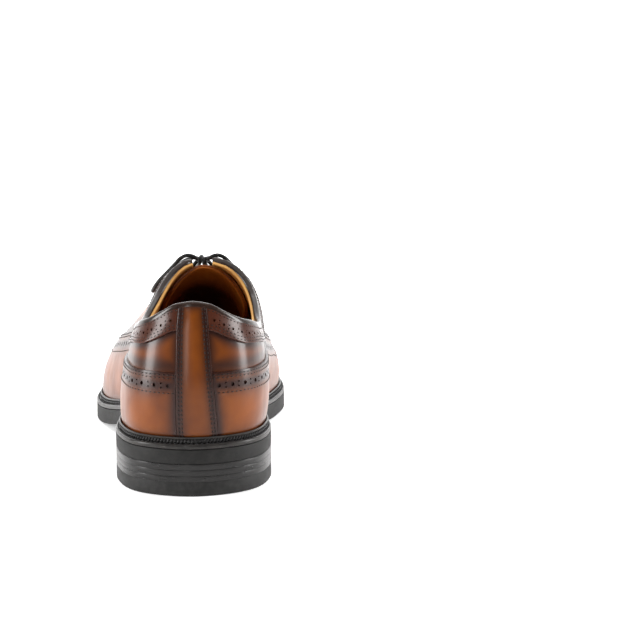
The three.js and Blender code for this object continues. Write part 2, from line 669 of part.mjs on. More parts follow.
// ---- Upper ----
const WING_POINT_AT = 226;
const wingHeight = through([
  [0, WING_HEIGHT],
  [walkAt(125), WING_HEIGHT],
  [walkAt(160), lerp(WING_HEIGHT, WING_LOW_HEIGHT, 0.5)],
  [walkAt(195), WING_LOW_HEIGHT],
]);
const WING_RISE_AT = 200;
const WING_SIDE_LIMIT = 0.62;
const WING_FRONT_SHARE = 0.7;
const BEFORE_WING_POINT = 4;
function wingBorder(walk, side) {
  if (walk >= walkAt(WING_POINT_AT) - 1e-9) return [0, 1];
  const alongSide = Math.min(tAtHeight(walk, side, wingHeight(walk)), WING_SIDE_LIMIT);
  const rise = smoothStep((walk - walkAt(WING_RISE_AT)) / (walkAt(WING_POINT_AT) - walkAt(WING_RISE_AT)));
  return [0, lerp(alongSide, WING_FRONT_SHARE, rise)];
}

// Half the backstay's width as a place on the walk: it flares towards the sole inside.
const HEEL_ARC = ((featherReach(0, MEDIAL) + OVERLAY.outer) * Math.PI) / 2;
function backstayEdge(t, side) {
  const flare = side === MEDIAL ? BACKSTAY_FLARE * clamp01(1 - t / 0.45) ** 1.5 : 0;
  return (BACKSTAY_HALF_WIDTH + flare) / HEEL_ARC;
}
const besideBackstay = (t, side) => backstayEdge(t, side) + (2 * SEAT_CLEARANCE) / HEEL_ARC;

const QUARTER_FRONT_AT = THROAT_AT + 20;
const THROAT_COLUMNS = columnsBetween(THROAT_AT - 3, THROAT_AT + 18, 9);
const QUARTER_FRONT_SHARE = 0.42;
function quarterBorder(walk, side) {
  const upper = belowTopEdge(walk, side, UPPER_TOP_DROP);
  const start = walkAt(THROAT_AT - 3);
  const throat = smoothStep((walk - start) / (walkAt(QUARTER_FRONT_AT) - start));
  return [0, lerp(upper, QUARTER_FRONT_SHARE, throat)];
}

const VAMP_BACK_AT = THROAT_AT - 40;
const vampTop = through([
  [walkAt(VAMP_BACK_AT), 0.3],
  [walkAt(THROAT_AT - 20), 0.42],
  [walkAt(THROAT_AT - 7), 0.64],
  [walkAt(THROAT_AT), 1],
]);
const vampBorder = (walk) => [0, vampTop(walk)];

function eyeletPlace(row, side) {
  const y = FIRST_EYELET_AT + row * EYELET_PITCH;
  const walk = walkAt(y);
  const t = tAtReach(walk, side, FACING_REACH + EYELET_FROM_EDGE);
  const at = skin(walk, t, side, (LINING.outer + QUARTER.inner) / 2);
  const normal = skin(walk, t, side, 10).sub(skin(walk, t, side, 0)).normalize();
  return { at, turn: new THREE.Quaternion().setFromUnitVectors(new THREE.Vector3(0, 1, 0), normal) };
}
function placed(geometry, { at, turn }) {
  geometry.applyQuaternion(turn);
  geometry.translate(at.x, at.y, at.z);
  return geometry;
}
const eyeletHoles = (side) => Array.from({ length: EYELET_ROWS }, (_, row) =>
  placed(new THREE.CylinderGeometry(HOLE_RADIUS, HOLE_RADIUS, 14, 8), eyeletPlace(row, side)));

function addUpper() {
  add('vamp', panelGeometry({
    from: walkAt(VAMP_BACK_AT), to: 3, border: vampBorder, ...VAMP,
    extra: [...columnsBetween(THROAT_AT - 14, THROAT_AT - 4, 5), ...THROAT_COLUMNS],
  }), 'tan');
  add('wing_cap', panelGeometry({
    from: besideBackstay, to: 3, border: wingBorder, ...OVERLAY,
    extra: [walkAt(WING_POINT_AT - BEFORE_WING_POINT), walkAt(WING_POINT_AT)],
  }), 'tan');
  for (const [name, side] of [['lateral', LATERAL], ['medial', MEDIAL]]) {
    const quarter = panelGeometry({
      sides: [side], from: SEAT_CLEARANCE / HEEL_ARC, to: walkAt(QUARTER_FRONT_AT), border: quarterBorder,
      extra: [...COLLAR_COLUMNS, ...THROAT_COLUMNS], ...QUARTER,
    });
    add(`quarter_${name}`, cut(quarter, eyeletHoles(side)), 'tan');
    add(`collar_band_${name}`, panelGeometry({
      sides: [side],
      from: besideBackstay,
      to: COLLAR_BAND_END,
      border: (walk) => [
        belowTopEdge(walk, side, UPPER_TOP_DROP + collarBandWidth(walk)),
        belowTopEdge(walk, side, UPPER_TOP_DROP),
      ],
      extra: COLLAR_COLUMNS,
      ...OVERLAY,
    }), 'burnish');
  }
  add('backstay', panelGeometry({
    from: 0,
    to: backstayEdge,
    border: (walk, side) => [0, belowTopEdge(walk, side, UPPER_TOP_DROP)],
    ...OVERLAY,
  }), 'tan');
  add('topline_binding', panelGeometry({
    from: 0,
    to: COLLAR_END,
    border: (walk, side) => [belowTopEdge(walk, side, BINDING_HEIGHT), topEdge(walk, side)],
    extra: COLLAR_COLUMNS,
    inner: LINING.inner,
    outer: OVERLAY.outer,
  }), 'binding');
}

const COUNTER_END_AT = 88;
const PUFF_START_AT = 238;
function addLiningsAndStiffeners() {
  const lining = panelGeometry({
    from: 0,
    to: walkAt(THROAT_AT - 4),
    border: (walk, side) => [0, belowTopEdge(walk, side, UPPER_TOP_DROP)],
    extra: COLLAR_COLUMNS,
    ...LINING,
  });
  add('quarter_lining', cut(lining, [...eyeletHoles(LATERAL), ...eyeletHoles(MEDIAL)]), 'lining');
  add('vamp_lining', panelGeometry({
    from: walkAt(THROAT_AT + 2), to: 3, border: () => [0, 1], ...LINING,
  }), 'lining');
  add('heel_counter', panelGeometry({
    from: 0,
    to: walkAt(COUNTER_END_AT),
    border: (walk, side) =>
      [0, tAtHeight(walk, side, lerp(BACK_HEIGHT - 20, WING_HEIGHT - 8, walk / walkAt(COUNTER_END_AT)))],
    ...COUNTER,
  }), 'stiffener');
  add('toe_puff', panelGeometry({
    from: walkAt(PUFF_START_AT), to: 3, border: () => [0, 1], ...STIFFENER,
  }), 'stiffener');
}

// ---- Tongue: wraps the instep under the lacing, hinged at the throat ----
const TONGUE_TOP_AT = INSTEP_AT - 3;
const TONGUE_TOP_DROP = 27;
const TONGUE_FRONT_DROP = 10;
const TONGUE_BACK = walkAt(TONGUE_TOP_AT);
const TONGUE_FRONT = walkAt(THROAT_AT - 1);
function tongueBorder(walk, side) {
  const top = meridian(walk, side).z[3];
  const share = (walk - TONGUE_BACK) / (TONGUE_FRONT - TONGUE_BACK);
  return [tAtHeight(walk, side, top - lerp(TONGUE_TOP_DROP, TONGUE_FRONT_DROP, share)), 1];
}
function addTongue() {
  const shape = { from: TONGUE_BACK, to: TONGUE_FRONT, border: tongueBorder };
  add('tongue', panelGeometry({ ...shape, ...TONGUE }), 'tan');
  add('tongue_lining', panelGeometry({ ...shape, ...TONGUE_LINING }), 'lining');
}

// ---- Eyelets, sandwiched between the facing and its lining ----
function addEyelets() {
  for (const [name, side] of [['lateral', LATERAL], ['medial', MEDIAL]]) {
    for (let row = 0; row < EYELET_ROWS; row += 1) {
      const outer = EYELET_BORE_RADIUS + EYELET_RIM_WIDTH;
      const half = EYELET_THICKNESS / 2;
      const ring = new THREE.LatheGeometry([
        new THREE.Vector2(EYELET_BORE_RADIUS, -half),
        new THREE.Vector2(outer, -half),
        new THREE.Vector2(outer, half),
        new THREE.Vector2(EYELET_BORE_RADIUS, half),
        new THREE.Vector2(EYELET_BORE_RADIUS, -half),
      ], 10);
      add(`eyelet_${name}_${row + 1}`, placed(ring, eyeletPlace(row, side)), 'brass');
    }
  }
}

// ---- Lace: straight bars over the facings, then a knot and a bow ----
const LACE_RADIUS = LACE_DIAMETER / 2;
const LACE_SIDES = 6;
const LACE_OVER = QUARTER.outer + LACE_RADIUS + 2 * SEAT_CLEARANCE;
const LACE_UNDER = -LACE_RADIUS - SEAT_CLEARANCE;
const HOLE_REACH = FACING_REACH + EYELET_FROM_EDGE;
const RUN_SHIFT = 3.4;
const rowAt = (row) => FIRST_EYELET_AT + row * EYELET_PITCH;

function laceTube(points, steps) {
  const section = new THREE.Shape(Array.from({ length: LACE_SIDES }, (_, k) => {
    const angle = (2 * Math.PI * k) / LACE_SIDES;
    return new THREE.Vector2(LACE_RADIUS * Math.cos(angle), LACE_RADIUS * Math.sin(angle));
  }));
  const path = new THREE.CatmullRomCurve3(points, false, 'centripetal');
  return new THREE.ExtrudeGeometry(section, { steps, extrudePath: path, bevelEnabled: false });
}
const onFacing = (y, reach, side, out) => skin(walkAt(y), tAtReach(walkAt(y), side, reach), side, out);
const upThrough = (row, side) => [
  onFacing(rowAt(row), HOLE_REACH, side, LACE_UNDER),
  onFacing(rowAt(row), HOLE_REACH, side, LINING.outer),
  onFacing(rowAt(row), HOLE_REACH, side, QUARTER.inner),
  onFacing(rowAt(row), HOLE_REACH - 1, side, LACE_OVER),
];
const downThrough = (row, side) => upThrough(row, side).reverse();
const across = (row, side) => [
  onFacing(rowAt(row), FACING_REACH + 1, side, LACE_OVER),
  onFacing(rowAt(row), FACING_REACH + 1, -side, LACE_OVER),
];
const bar = (row, side) => [...upThrough(row, side), ...across(row, side), ...downThrough(row, -side)];
const under = (rowA, rowB, side, shift) => {
  const from = rowAt(rowA);
  const to = rowAt(rowB);
  return [0.35, 0.65].map((share) =>
    onFacing(lerp(from, to, share), HOLE_REACH + shift, side, LACE_UNDER));
};

// Row 0 is nearest the ankle. One lace runs from the lateral end of the bow to the medial one.
const toPoint = ([x, y, z]) => new THREE.Vector3(x, y, z);
const RUN_START = [2.7, 121.4, 101.2];
const RUN_END = [8.9, 121.4, 101.2];

function laceRoute() {
  return [
    toPoint(RUN_START),
    across(0, LATERAL)[0],
    ...downThrough(0, LATERAL),
    ...under(0, 2, LATERAL, RUN_SHIFT),
    ...bar(2, LATERAL),
    ...under(2, 4, MEDIAL, RUN_SHIFT),
    ...bar(4, MEDIAL),
    ...under(4, 3, LATERAL, 0),
    ...bar(3, LATERAL),
    ...under(3, 1, MEDIAL, -RUN_SHIFT),
    ...bar(1, MEDIAL),
    onFacing(lerp(rowAt(1), rowAt(0), 0.4), FACING_REACH + 2, LATERAL, LACE_UNDER),
    onFacing(lerp(rowAt(1), rowAt(0), 0.6), FACING_REACH + 2, MEDIAL, LACE_UNDER),
    ...upThrough(0, MEDIAL),
    across(0, MEDIAL)[0],
    toPoint(RUN_END),
  ];
}

// The free ends of the lace: each leaves the knot as a loop over its facing, comes back in
// front of the knot and runs down the lacing as a tail. The points are chosen by hand.
const BOW_LATERAL = [
  [3.2, 118, 102.6], [0.6, 117.2, 104.2], [-2.6, 116.9, 104.9], [-6.4, 117.4, 103.2], [-10.2, 119, 99],
  [-14, 121.8, 94.8], [-18, 126, 90.2], [-21.2, 131.5, 85.2], [-22, 137.5, 82.5], [-19.4, 142, 83.8],
  [-14.6, 141.2, 88], [-10.2, 136.4, 94], [-6, 130.8, 99.2], [-2, 127, 101.6], [1, 126.4, 102.4],
  [3.4, 128.6, 101.8], [4.2, 132.4, 99.8], [3.8, 137.5, 97.2], [2, 143.5, 94.4], [-1, 150.5, 91],
  [-5, 158.4, 87.5], [-9.4, 166, 82.8], [-13.8, 172.6, 76],
];
const BOW_MEDIAL = [
  [8.4, 118, 102.6], [11, 117.2, 104.2], [14.2, 116.9, 104.9], [18, 117.4, 103.2], [21.8, 119, 99],
  [25.6, 121.8, 94.8], [29.6, 126, 90.2], [32.8, 131.5, 83.6], [33.6, 137.5, 80.2], [31, 142, 82.8],
  [26.2, 141.2, 87.6], [21.8, 136.4, 93.8], [17.6, 130.8, 99.2], [13.6, 127, 101.6], [10.6, 126.4, 102.4],
  [8.2, 128.6, 101.8], [7.4, 132.4, 99.8], [7.8, 137.5, 97.2], [9.6, 143.5, 94.4], [12.6, 150.5, 91],
  [16.6, 158.4, 87.3], [21, 166, 82.2], [25.4, 172.6, 75],
];
const AGLET_TIP_LATERAL = [-20.6, 182.5, 68.3];
const AGLET_TIP_MEDIAL = [32, 182.5, 66.2];
const KNOT_CENTRE = [5.8, 120.6, 102.2];
const KNOT_HALF_SIZE = [2.2, 3.8, 2.4];
const BOW_STEPS = 34;

function addLace() {
  add('lace_run', laceTube(laceRoute(), 120), 'lace');
  const knotShape = new THREE.SphereGeometry(1, 10, 6);
  knotShape.scale(...KNOT_HALF_SIZE);
  knotShape.translate(...KNOT_CENTRE);
  add('lace_knot', knotShape, 'lace');
  for (const [name, route, tip] of [
    ['lateral', BOW_LATERAL, AGLET_TIP_LATERAL], ['medial', BOW_MEDIAL, AGLET_TIP_MEDIAL],
  ]) {
    add(`lace_end_${name}`, laceTube(route.map(toPoint), BOW_STEPS), 'lace');
    const end = toPoint(route[route.length - 1]);
    const along = toPoint(tip).sub(end).normalize();
    const aglet = new THREE.CylinderGeometry(0.8 * LACE_RADIUS, LACE_RADIUS, AGLET_LENGTH, 8);
    aglet.applyQuaternion(new THREE.Quaternion().setFromUnitVectors(new THREE.Vector3(0, 1, 0), along));
    const centre = end.addScaledVector(along, AGLET_LENGTH / 2 + 2 * SEAT_CLEARANCE);
    aglet.translate(centre.x, centre.y, centre.z);
    add(`aglet_${name}`, aglet, 'steel');
  }
}

addHeel();
addSole();
addInside();
addUpper();
addLiningsAndStiffeners();
addTongue();
addEyelets();
addLace();

// ---- Stand the shoe on its own origin: the middle of its footprint, on the ground ----
const box = new THREE.Box3().setFromObject(shoe);
const middle = box.getCenter(new THREE.Vector3());
shoe.position.set(-middle.x, -middle.y, -box.min.z);

export default shoe;
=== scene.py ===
# %% [markdown]
# # A man's longwing derby shoe, the left one of a pair
# The shoe is a stack of real layers: a heel of glued lifts, a rubber sole, a stitched storm
# welt, and an upper of overlapping leather panels drawn over a foot shape, the last. The CAD
# model gives every piece its size and place. Here each visible piece is made again with fine
# geometry, so that edges are round, holes are punched and every stitch is a thread.

# %% Load the frame
import json
import math

import bmesh
import bpy
import numpy as np
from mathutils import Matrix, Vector, kdtree

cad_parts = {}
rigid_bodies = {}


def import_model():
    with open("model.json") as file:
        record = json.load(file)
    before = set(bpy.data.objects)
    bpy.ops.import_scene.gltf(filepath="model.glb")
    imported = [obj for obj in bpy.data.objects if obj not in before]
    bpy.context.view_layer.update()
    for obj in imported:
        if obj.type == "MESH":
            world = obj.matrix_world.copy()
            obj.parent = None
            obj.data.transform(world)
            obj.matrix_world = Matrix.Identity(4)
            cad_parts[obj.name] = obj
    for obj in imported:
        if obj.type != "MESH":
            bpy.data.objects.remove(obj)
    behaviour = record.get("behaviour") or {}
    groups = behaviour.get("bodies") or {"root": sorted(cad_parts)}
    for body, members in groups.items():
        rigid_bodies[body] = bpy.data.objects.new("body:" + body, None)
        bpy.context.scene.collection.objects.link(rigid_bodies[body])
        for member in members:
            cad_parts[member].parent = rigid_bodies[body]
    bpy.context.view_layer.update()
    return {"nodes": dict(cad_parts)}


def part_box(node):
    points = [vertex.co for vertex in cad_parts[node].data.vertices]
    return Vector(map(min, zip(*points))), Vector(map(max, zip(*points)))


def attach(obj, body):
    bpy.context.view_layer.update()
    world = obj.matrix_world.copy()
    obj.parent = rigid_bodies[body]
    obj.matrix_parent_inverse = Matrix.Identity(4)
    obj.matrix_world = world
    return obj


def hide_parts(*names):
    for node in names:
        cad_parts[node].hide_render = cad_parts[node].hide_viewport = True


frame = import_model()

# %% [markdown]
# ## Where things are
# A shoemaker measures from the back of the heel, in millimetres, so all shapes below are
# written that way: y forward to the toe, x to the inner side, z up from the ground. One
# function turns such a point into metres in the frame that CAD and Blender share.

# %% From the shoemaker's millimetres to the shared frame
KNOT_X = 5.8
heel_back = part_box("top_piece")[0].y
knot_low, knot_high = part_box("lace_knot")
HEEL_AXIS = (knot_low.x + knot_high.x) / 2 - KNOT_X / 1000


def place(points):
    points = np.asarray(points, float) / 1000
    return points + np.array([HEEL_AXIS, heel_back, 0.0])


print("heel axis at x = %.4f m, back of the heel at y = %.4f m" % (HEEL_AXIS, heel_back))

# %% [markdown]
# ## Camera
# The shoe is seen from straight behind, from a little above the collar, through a long lens.
# The camera is turned slightly to the right, so the left shoe stands left of the middle.

# %% Camera
EYE = (0.0, -817.0, 213.9)
TURN_RIGHT = math.radians(4.09)
LOOK_DOWN = math.radians(8.5)
camera = bpy.data.objects.new("camera", bpy.data.cameras.new("camera"))
camera.data.lens = 98.35
camera.location = Vector(place(EYE))
gaze = Vector((
    math.sin(TURN_RIGHT) * math.cos(LOOK_DOWN),
    math.cos(TURN_RIGHT) * math.cos(LOOK_DOWN),
    -math.sin(LOOK_DOWN),
))
camera.rotation_euler = gaze.to_track_quat("-Z", "Y").to_euler()
bpy.context.scene.collection.objects.link(camera)
bpy.context.scene.camera = camera
print("camera at", [round(v, 3) for v in camera.location])

# %% [markdown]
# ## The lace's free ends
# A thin waxed dress lace is round and limp. Each free end leaves the knot, makes one loop of
# the bow and runs down the lacing as a tail, and ends in its tip. A Bezier or poly curve
# with a round bevel is Blender's own way to make a cord: one spline, one true diameter.

# %% Bow: two free ends on one smooth curve each
LACE_DIAMETER = 2.2
BOW_LATERAL = [
    (3.2, 118, 102.6), (0.6, 117.2, 104.2), (-2.6, 116.9, 104.9), (-6.4, 117.4, 103.2),
    (-10.2, 119, 99), (-14, 121.8, 94.8), (-18, 126, 90.2), (-21.2, 131.5, 85.2),
    (-22, 137.5, 82.5), (-19.4, 142, 83.8), (-14.6, 141.2, 88), (-10.2, 136.4, 94),
    (-6, 130.8, 99.2), (-2, 127, 101.6), (1, 126.4, 102.4), (3.4, 128.6, 101.8),
    (4.2, 132.4, 99.8), (3.8, 137.5, 97.2), (2, 143.5, 94.4), (-1, 150.5, 91),
    (-5, 158.4, 87.5), (-9.4, 166, 82.8), (-13.8, 172.6, 76),
]
BOW_MEDIAL = [
    (8.4, 118, 102.6), (11, 117.2, 104.2), (14.2, 116.9, 104.9), (18, 117.4, 103.2),
    (21.8, 119, 99), (25.6, 121.8, 94.8), (29.6, 126, 90.2), (32.8, 131.5, 83.6),
    (33.6, 137.5, 80.2), (31, 142, 82.8), (26.2, 141.2, 87.6), (21.8, 136.4, 93.8),
    (17.6, 130.8, 99.2), (13.6, 127, 101.6), (10.6, 126.4, 102.4), (8.2, 128.6, 101.8),
    (7.4, 132.4, 99.8), (7.8, 137.5, 97.2), (9.6, 143.5, 94.4), (12.6, 150.5, 91),
    (16.6, 158.4, 87.3), (21, 166, 82.2), (25.4, 172.6, 75),
]


def smooth_line(points, per_span=8):
    """A centripetal Catmull-Rom line through the points, with straight ends."""
    points = np.asarray(points, float)
    ends = (2 * points[0] - points[1], 2 * points[-1] - points[-2])
    p = np.vstack([ends[0], points, ends[1]])
    line = []
    for k in range(1, len(p) - 2):
        gaps = [max(1e-6, np.linalg.norm(p[k + i] - p[k + i - 1])) ** 0.5 for i in (0, 1, 2)]
        a = (p[k] - p[k - 1]) / gaps[0] - (p[k + 1] - p[k - 1]) / (gaps[0] + gaps[1])
        a = (a + (p[k + 1] - p[k]) / gaps[1]) * gaps[1]
        b = (p[k + 1] - p[k]) / gaps[1] - (p[k + 2] - p[k]) / (gaps[1] + gaps[2])
        b = (b + (p[k + 2] - p[k + 1]) / gaps[2]) * gaps[1]
        for u in np.arange(per_span) / per_span:
            line.append(
                p[k] * (2 * u**3 - 3 * u**2 + 1) + p[k + 1] * (3 * u**2 - 2 * u**3)
                + a * (u**3 - 2 * u**2 + u) + b * (u**3 - u**2)
            )
    line.append(points[-1])
    return np.array(line)


def length_of(line):
    return float(np.linalg.norm(np.diff(line, axis=0), axis=1).sum())


def lace_curve(name, line):
    data = bpy.data.curves.new(name, "CURVE")
    data.dimensions = "3D"
    data.bevel_depth = 1.0
    data.bevel_resolution = 3
    data.use_fill_caps = True
    spline = data.splines.new("POLY")
    spline.points.add(len(line) - 1)
    for point, where in zip(spline.points, place(line)):
        point.co = (*where, 1)
        point.radius = LACE_DIAMETER / 2000
    lace = bpy.data.objects.new(name, data)
    bpy.context.scene.collection.objects.link(lace)
    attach(lace, "shoe")
    return lace


bow = {}
for name, points in (("lateral", BOW_LATERAL), ("medial", BOW_MEDIAL)):
    line = smooth_line(points)
    lace = lace_curve("bow_" + name, line)
    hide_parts("lace_end_" + name)
    bow[name] = lace
    print("bow end", name, "is %.1f mm long" % length_of(line))

# %% [markdown]
# ## The sole's edge seen from above
# The sole of a left shoe is a round heel, a narrow waist, a wide ball and a toe that swings
# inward. A few named widths and one closed smooth line give the same outline as the CAD.

# %% Sole outline
SOLE_LENGTH = 305.0
HEEL_RADIUS = 39.0
TOE_CENTRE = 257.0
TOE_SWING = 4.0
INSTEP_AT = 115.0
THROAT_AT = 170.0
INSTEP_SWING = 5.8


def closed_line(points, per_span=40):
    looped = np.vstack([points[-2:], points, points[:2]])
    whole = smooth_line(looped, per_span)
    return whole[2 * per_span:(2 + len(points)) * per_span]


heel_arc = [
    (HEEL_RADIUS * math.cos(a), HEEL_RADIUS - HEEL_RADIUS * math.sin(a))
    for a in np.radians([0, 45, 90, 135, 180])
]
sole_edge_points = heel_arc + [
    (-37, 0.37 * SOLE_LENGTH), (-57.5, 0.645 * SOLE_LENGTH), (-43, 0.86 * SOLE_LENGTH),
    (-21.8, 0.962 * SOLE_LENGTH), (4, SOLE_LENGTH), (32.4, 0.968 * SOLE_LENGTH),
    (49, 0.87 * SOLE_LENGTH), (55.5, 0.71 * SOLE_LENGTH), (33, 0.41 * SOLE_LENGTH),
]
OUTLINE = closed_line(np.array(sole_edge_points))
print("outline points:", len(OUTLINE), "widest", OUTLINE[:, 0].min().round(1), OUTLINE[:, 0].max().round(1))

# %% A smooth curve through [place, value] pairs
def through(pairs):
    xs, ys = np.array(pairs, float).T
    steps = np.diff(ys) / np.diff(xs)
    slopes = np.zeros(len(xs))
    for i in range(1, len(xs) - 1):
        before, after = steps[i - 1], steps[i]
        slopes[i] = 0 if before * after <= 0 else 2 * before * after / (before + after)

    def value(x):
        x = np.clip(np.asarray(x, float), xs[0], xs[-1])
        k = np.clip(np.searchsorted(xs, x, side="left"), 1, len(xs) - 1)
        span = xs[k] - xs[k - 1]
        u = (x - xs[k - 1]) / span
        flat = ys[k - 1] * (2 * u**3 - 3 * u**2 + 1) + ys[k] * (3 * u**2 - 2 * u**3)
        return flat + span * (slopes[k - 1] * (u**3 - 2 * u**2 + u) + slopes[k] * (u**3 - u**2))

    return value


def smooth_step(u):
    u = np.clip(u, 0, 1)
    return u * u * (3 - 2 * u)


def walk_at(y):
    return 1 + (np.asarray(y, float) - HEEL_RADIUS) / (TOE_CENTRE - HEEL_RADIUS)


# %% [markdown]
# ## Heights of the bottom
# The heel lifts the seat, the sole comes down to a flat tread under the ball and the toe
# springs up again. Every layer above the sole follows these same heights.

# %% Heights along the shoe
TOP_PIECE = 6.6
LIFT = 2.7
GAP = 0.3
HEEL_LENGTH = 80.0
TREAD = (185.0, 213.0)
HEEL_SEAT = TOP_PIECE + 3 * (LIFT + GAP) + GAP
TOE_SPRING = 12.0
WELT = 2.4
WELT_REACH = 3.9
OVERLAY_OUT = 6.14


def sole_bottom(y):
    y = np.asarray(y, float)
    arch = HEEL_SEAT * (1 - smooth_step((y - HEEL_LENGTH) / (TREAD[0] - HEEL_LENGTH)))
    toe = TOE_SPRING * (np.maximum(0, y - TREAD[1]) / (SOLE_LENGTH - TREAD[1])) ** 2
    return np.where(y <= TREAD[0], arch, toe)


def sole_top(y):
    return sole_bottom(y) + 7.2 + 1.8 * smooth_step((y - HEEL_LENGTH) / (TREAD[0] - HEEL_LENGTH))


def welt_bottom(y):
    return sole_top(y) + GAP


def welt_top(y):
    return welt_bottom(y) + WELT


def feather_height(y):
    return welt_top(y) + 0.5


print("heel seat %.1f mm, welt top at the heel %.1f mm" % (HEEL_SEAT, welt_top(0)))

# %% [markdown]
# ## The last
# A last is the solid foot shape a shoe is pulled over. Here it is a fan of cubic curves:
# each starts at the feather edge by the sole and climbs to the ridge of the instep. A place
# on it is (walk, share): walk goes round from the heel (0) along the side (1 to 2) to the
# toe (3), and share climbs from the feather (0) to the ridge (1). All leathers use it.

# %% Last: rays, reach and ridge
spine_x = through([
    (HEEL_RADIUS, 0), (66, 0.45 * INSTEP_SWING), (INSTEP_AT, INSTEP_SWING), (TOE_CENTRE, TOE_SWING),
])


def ray(walk, side):
    walk = np.asarray(walk, float)
    heel = np.clip(walk, 0, 1) * math.pi / 2
    toe = np.clip(walk - 2, 0, 1) * math.pi / 2
    at_heel, at_toe = walk <= 1, walk >= 2
    y = HEEL_RADIUS + (TOE_CENTRE - HEEL_RADIUS) * np.clip(walk - 1, 0, 1)
    x = np.where(at_heel, 0, np.where(at_toe, TOE_SWING, spine_x(y)))
    dx = side * np.where(at_heel, np.sin(heel), np.where(at_toe, np.cos(toe), 1))
    dy = np.where(at_heel, -np.cos(heel), np.where(at_toe, np.sin(toe), 0))
    return x, y, dx, dy


WALKS = np.linspace(0, 3, 721)


def edge_reach(side):
    """How far the sole's edge is from the spine, for each place on the walk."""
    a, b = OUTLINE, np.roll(OUTLINE, -1, axis=0)
    reaches = []
    for x, y, dx, dy in zip(*ray(WALKS, side)):
        cross = dx * (b[:, 1] - a[:, 1]) - dy * (b[:, 0] - a[:, 0])
        cross = np.where(np.abs(cross) < 1e-9, np.nan, cross)
        along = ((a[:, 0] - x) * (b[:, 1] - a[:, 1]) - (a[:, 1] - y) * (b[:, 0] - a[:, 0])) / cross
        share = ((a[:, 0] - x) * dy - (a[:, 1] - y) * dx) / cross
        hit = (share >= -1e-6) & (share <= 1 + 1e-6) & (along > 0)
        reaches.append(np.max(along[hit]))
    return np.array(reaches)


LATERAL, MEDIAL = -1, 1
REACH = {side: edge_reach(side) for side in (LATERAL, MEDIAL)}


def sole_reach(walk, side):
    return np.interp(walk, WALKS, REACH[side])


def feather_reach(walk, side):
    return sole_reach(walk, side) - OVERLAY_OUT - WELT_REACH


half_widths = [sole_reach(walk_at(y), side).round(1) for y, side in ((200, LATERAL), (215, MEDIAL))]
print("sole half widths at the ball:", *half_widths)

# %% Last: the fan of cubic curves
ANKLE, INSTEP, THROAT, TOE_BOX = 165.0, 98.0, 73.0, 43.5


def between(a, b, u):
    return a + (b - a) * u


ridge_height = through([
    (HEEL_RADIUS, ANKLE), (60, ANKLE - 4), (80, between(INSTEP, ANKLE, 0.6)),
    (100, between(INSTEP, ANKLE, 0.18)), (INSTEP_AT, INSTEP),
    ((INSTEP_AT + THROAT_AT) / 2, between(INSTEP, THROAT, 0.54)), (THROAT_AT, THROAT),
    (205, between(THROAT, TOE_BOX, 0.55)), (235, between(THROAT, TOE_BOX, 0.87)),
    (TOE_CENTRE, TOE_BOX - 1),
])
RIDGE_SLOPE_AT_TOE = -0.16
bulge = {
    LATERAL: through([(0, 9), (1, 8), (1.34, 5), (1.7, 3), (2, 2), (3, 2)]),
    MEDIAL: through([(0, 9), (1, 10), (1.36, 20), (1.7, 6), (2, 2), (3, 2)]),
}
bulge_rise = through([(0, 24), (1, 26), (1.4, 32), (1.75, 22), (2, 17), (3, 15)])
crown_reach = {
    LATERAL: through([
        (0, 21), (0.55, 17), (1, 11), (1.2, 11), (1.34, 20), (1.55, 33), (1.75, 38), (2, 30), (3, 24),
    ]),
    MEDIAL: through([(0, 21), (1, 22), (1.34, 27), (1.55, 34), (1.75, 38), (2, 30), (3, 24)]),
}
crown_drop = through([
    (1, 45), (walk_at(60), 45), (walk_at(80), 26), (walk_at(100), 5), (walk_at(INSTEP_AT), 0),
])


def meridian(walk, side):
    """The spine point, direction, and the four reaches and heights of each cubic."""
    x, y, dx, dy = ray(walk, side)
    reach = feather_reach(walk, side)
    base = feather_height(y + dy * reach)
    top = np.where(walk <= 1, ANKLE, ridge_height(y))
    fall = np.where(walk > 2, RIDGE_SLOPE_AT_TOE * dy * crown_reach[side](walk), 0)
    r = np.stack([reach, reach + bulge[side](walk), crown_reach[side](walk), 0 * walk])
    z = np.stack([base, base + bulge_rise(walk), top - crown_drop(walk) + fall, top])
    return x, y, dx, dy, r, z


SHARES = np.linspace(0, 1, 161)


def cubic(p, t):
    s = 1 - t
    return s**3 * p[0] + 3 * s * s * t * p[1] + 3 * s * t * t * p[2] + t**3 * p[3]


def last_grid(side):
    x, y, dx, dy, r, z = meridian(WALKS, side)
    t = SHARES[None, :]
    reach = cubic(r[:, :, None], t)
    height = cubic(z[:, :, None], t)
    points = np.stack([x[:, None] + dx[:, None] * reach, y[:, None] + dy[:, None] * reach, height], axis=-1)
    along = np.gradient(points, axis=0)
    up = np.gradient(points, axis=1)
    normal = np.cross(along, up) * side
    normal[0, :, 0] = 0
    normal[-1, :, 0] = 0
    ridge = np.where(WALKS >= 2, RIDGE_SLOPE_AT_TOE, ridge_height(y + 0.5) - ridge_height(y - 0.5))
    normal[:, -1] = np.stack([0 * ridge, -ridge, 0 * ridge + 1], axis=-1)
    size = np.linalg.norm(normal, axis=-1, keepdims=True)
    normal = np.where(size > 1e-9, normal / np.maximum(size, 1e-9), normal[:, -1:])
    rise = np.clip((height - z[0][:, None]) / 8.0, 0, 1)[..., None]
    level = np.stack([dx, dy, 0 * dx], axis=-1)[:, None, :]
    normal = level * (1 - rise) + normal * rise
    normal /= np.linalg.norm(normal, axis=-1, keepdims=True)
    return {"points": points, "normal": normal, "rise": rise, "reach": reach, "height": height}


LAST = {side: last_grid(side) for side in (LATERAL, MEDIAL)}
print("last grid:", LAST[LATERAL]["points"].shape)
print("lowest ridge: %.1f mm" % LAST[LATERAL]["height"][:, -1].min())

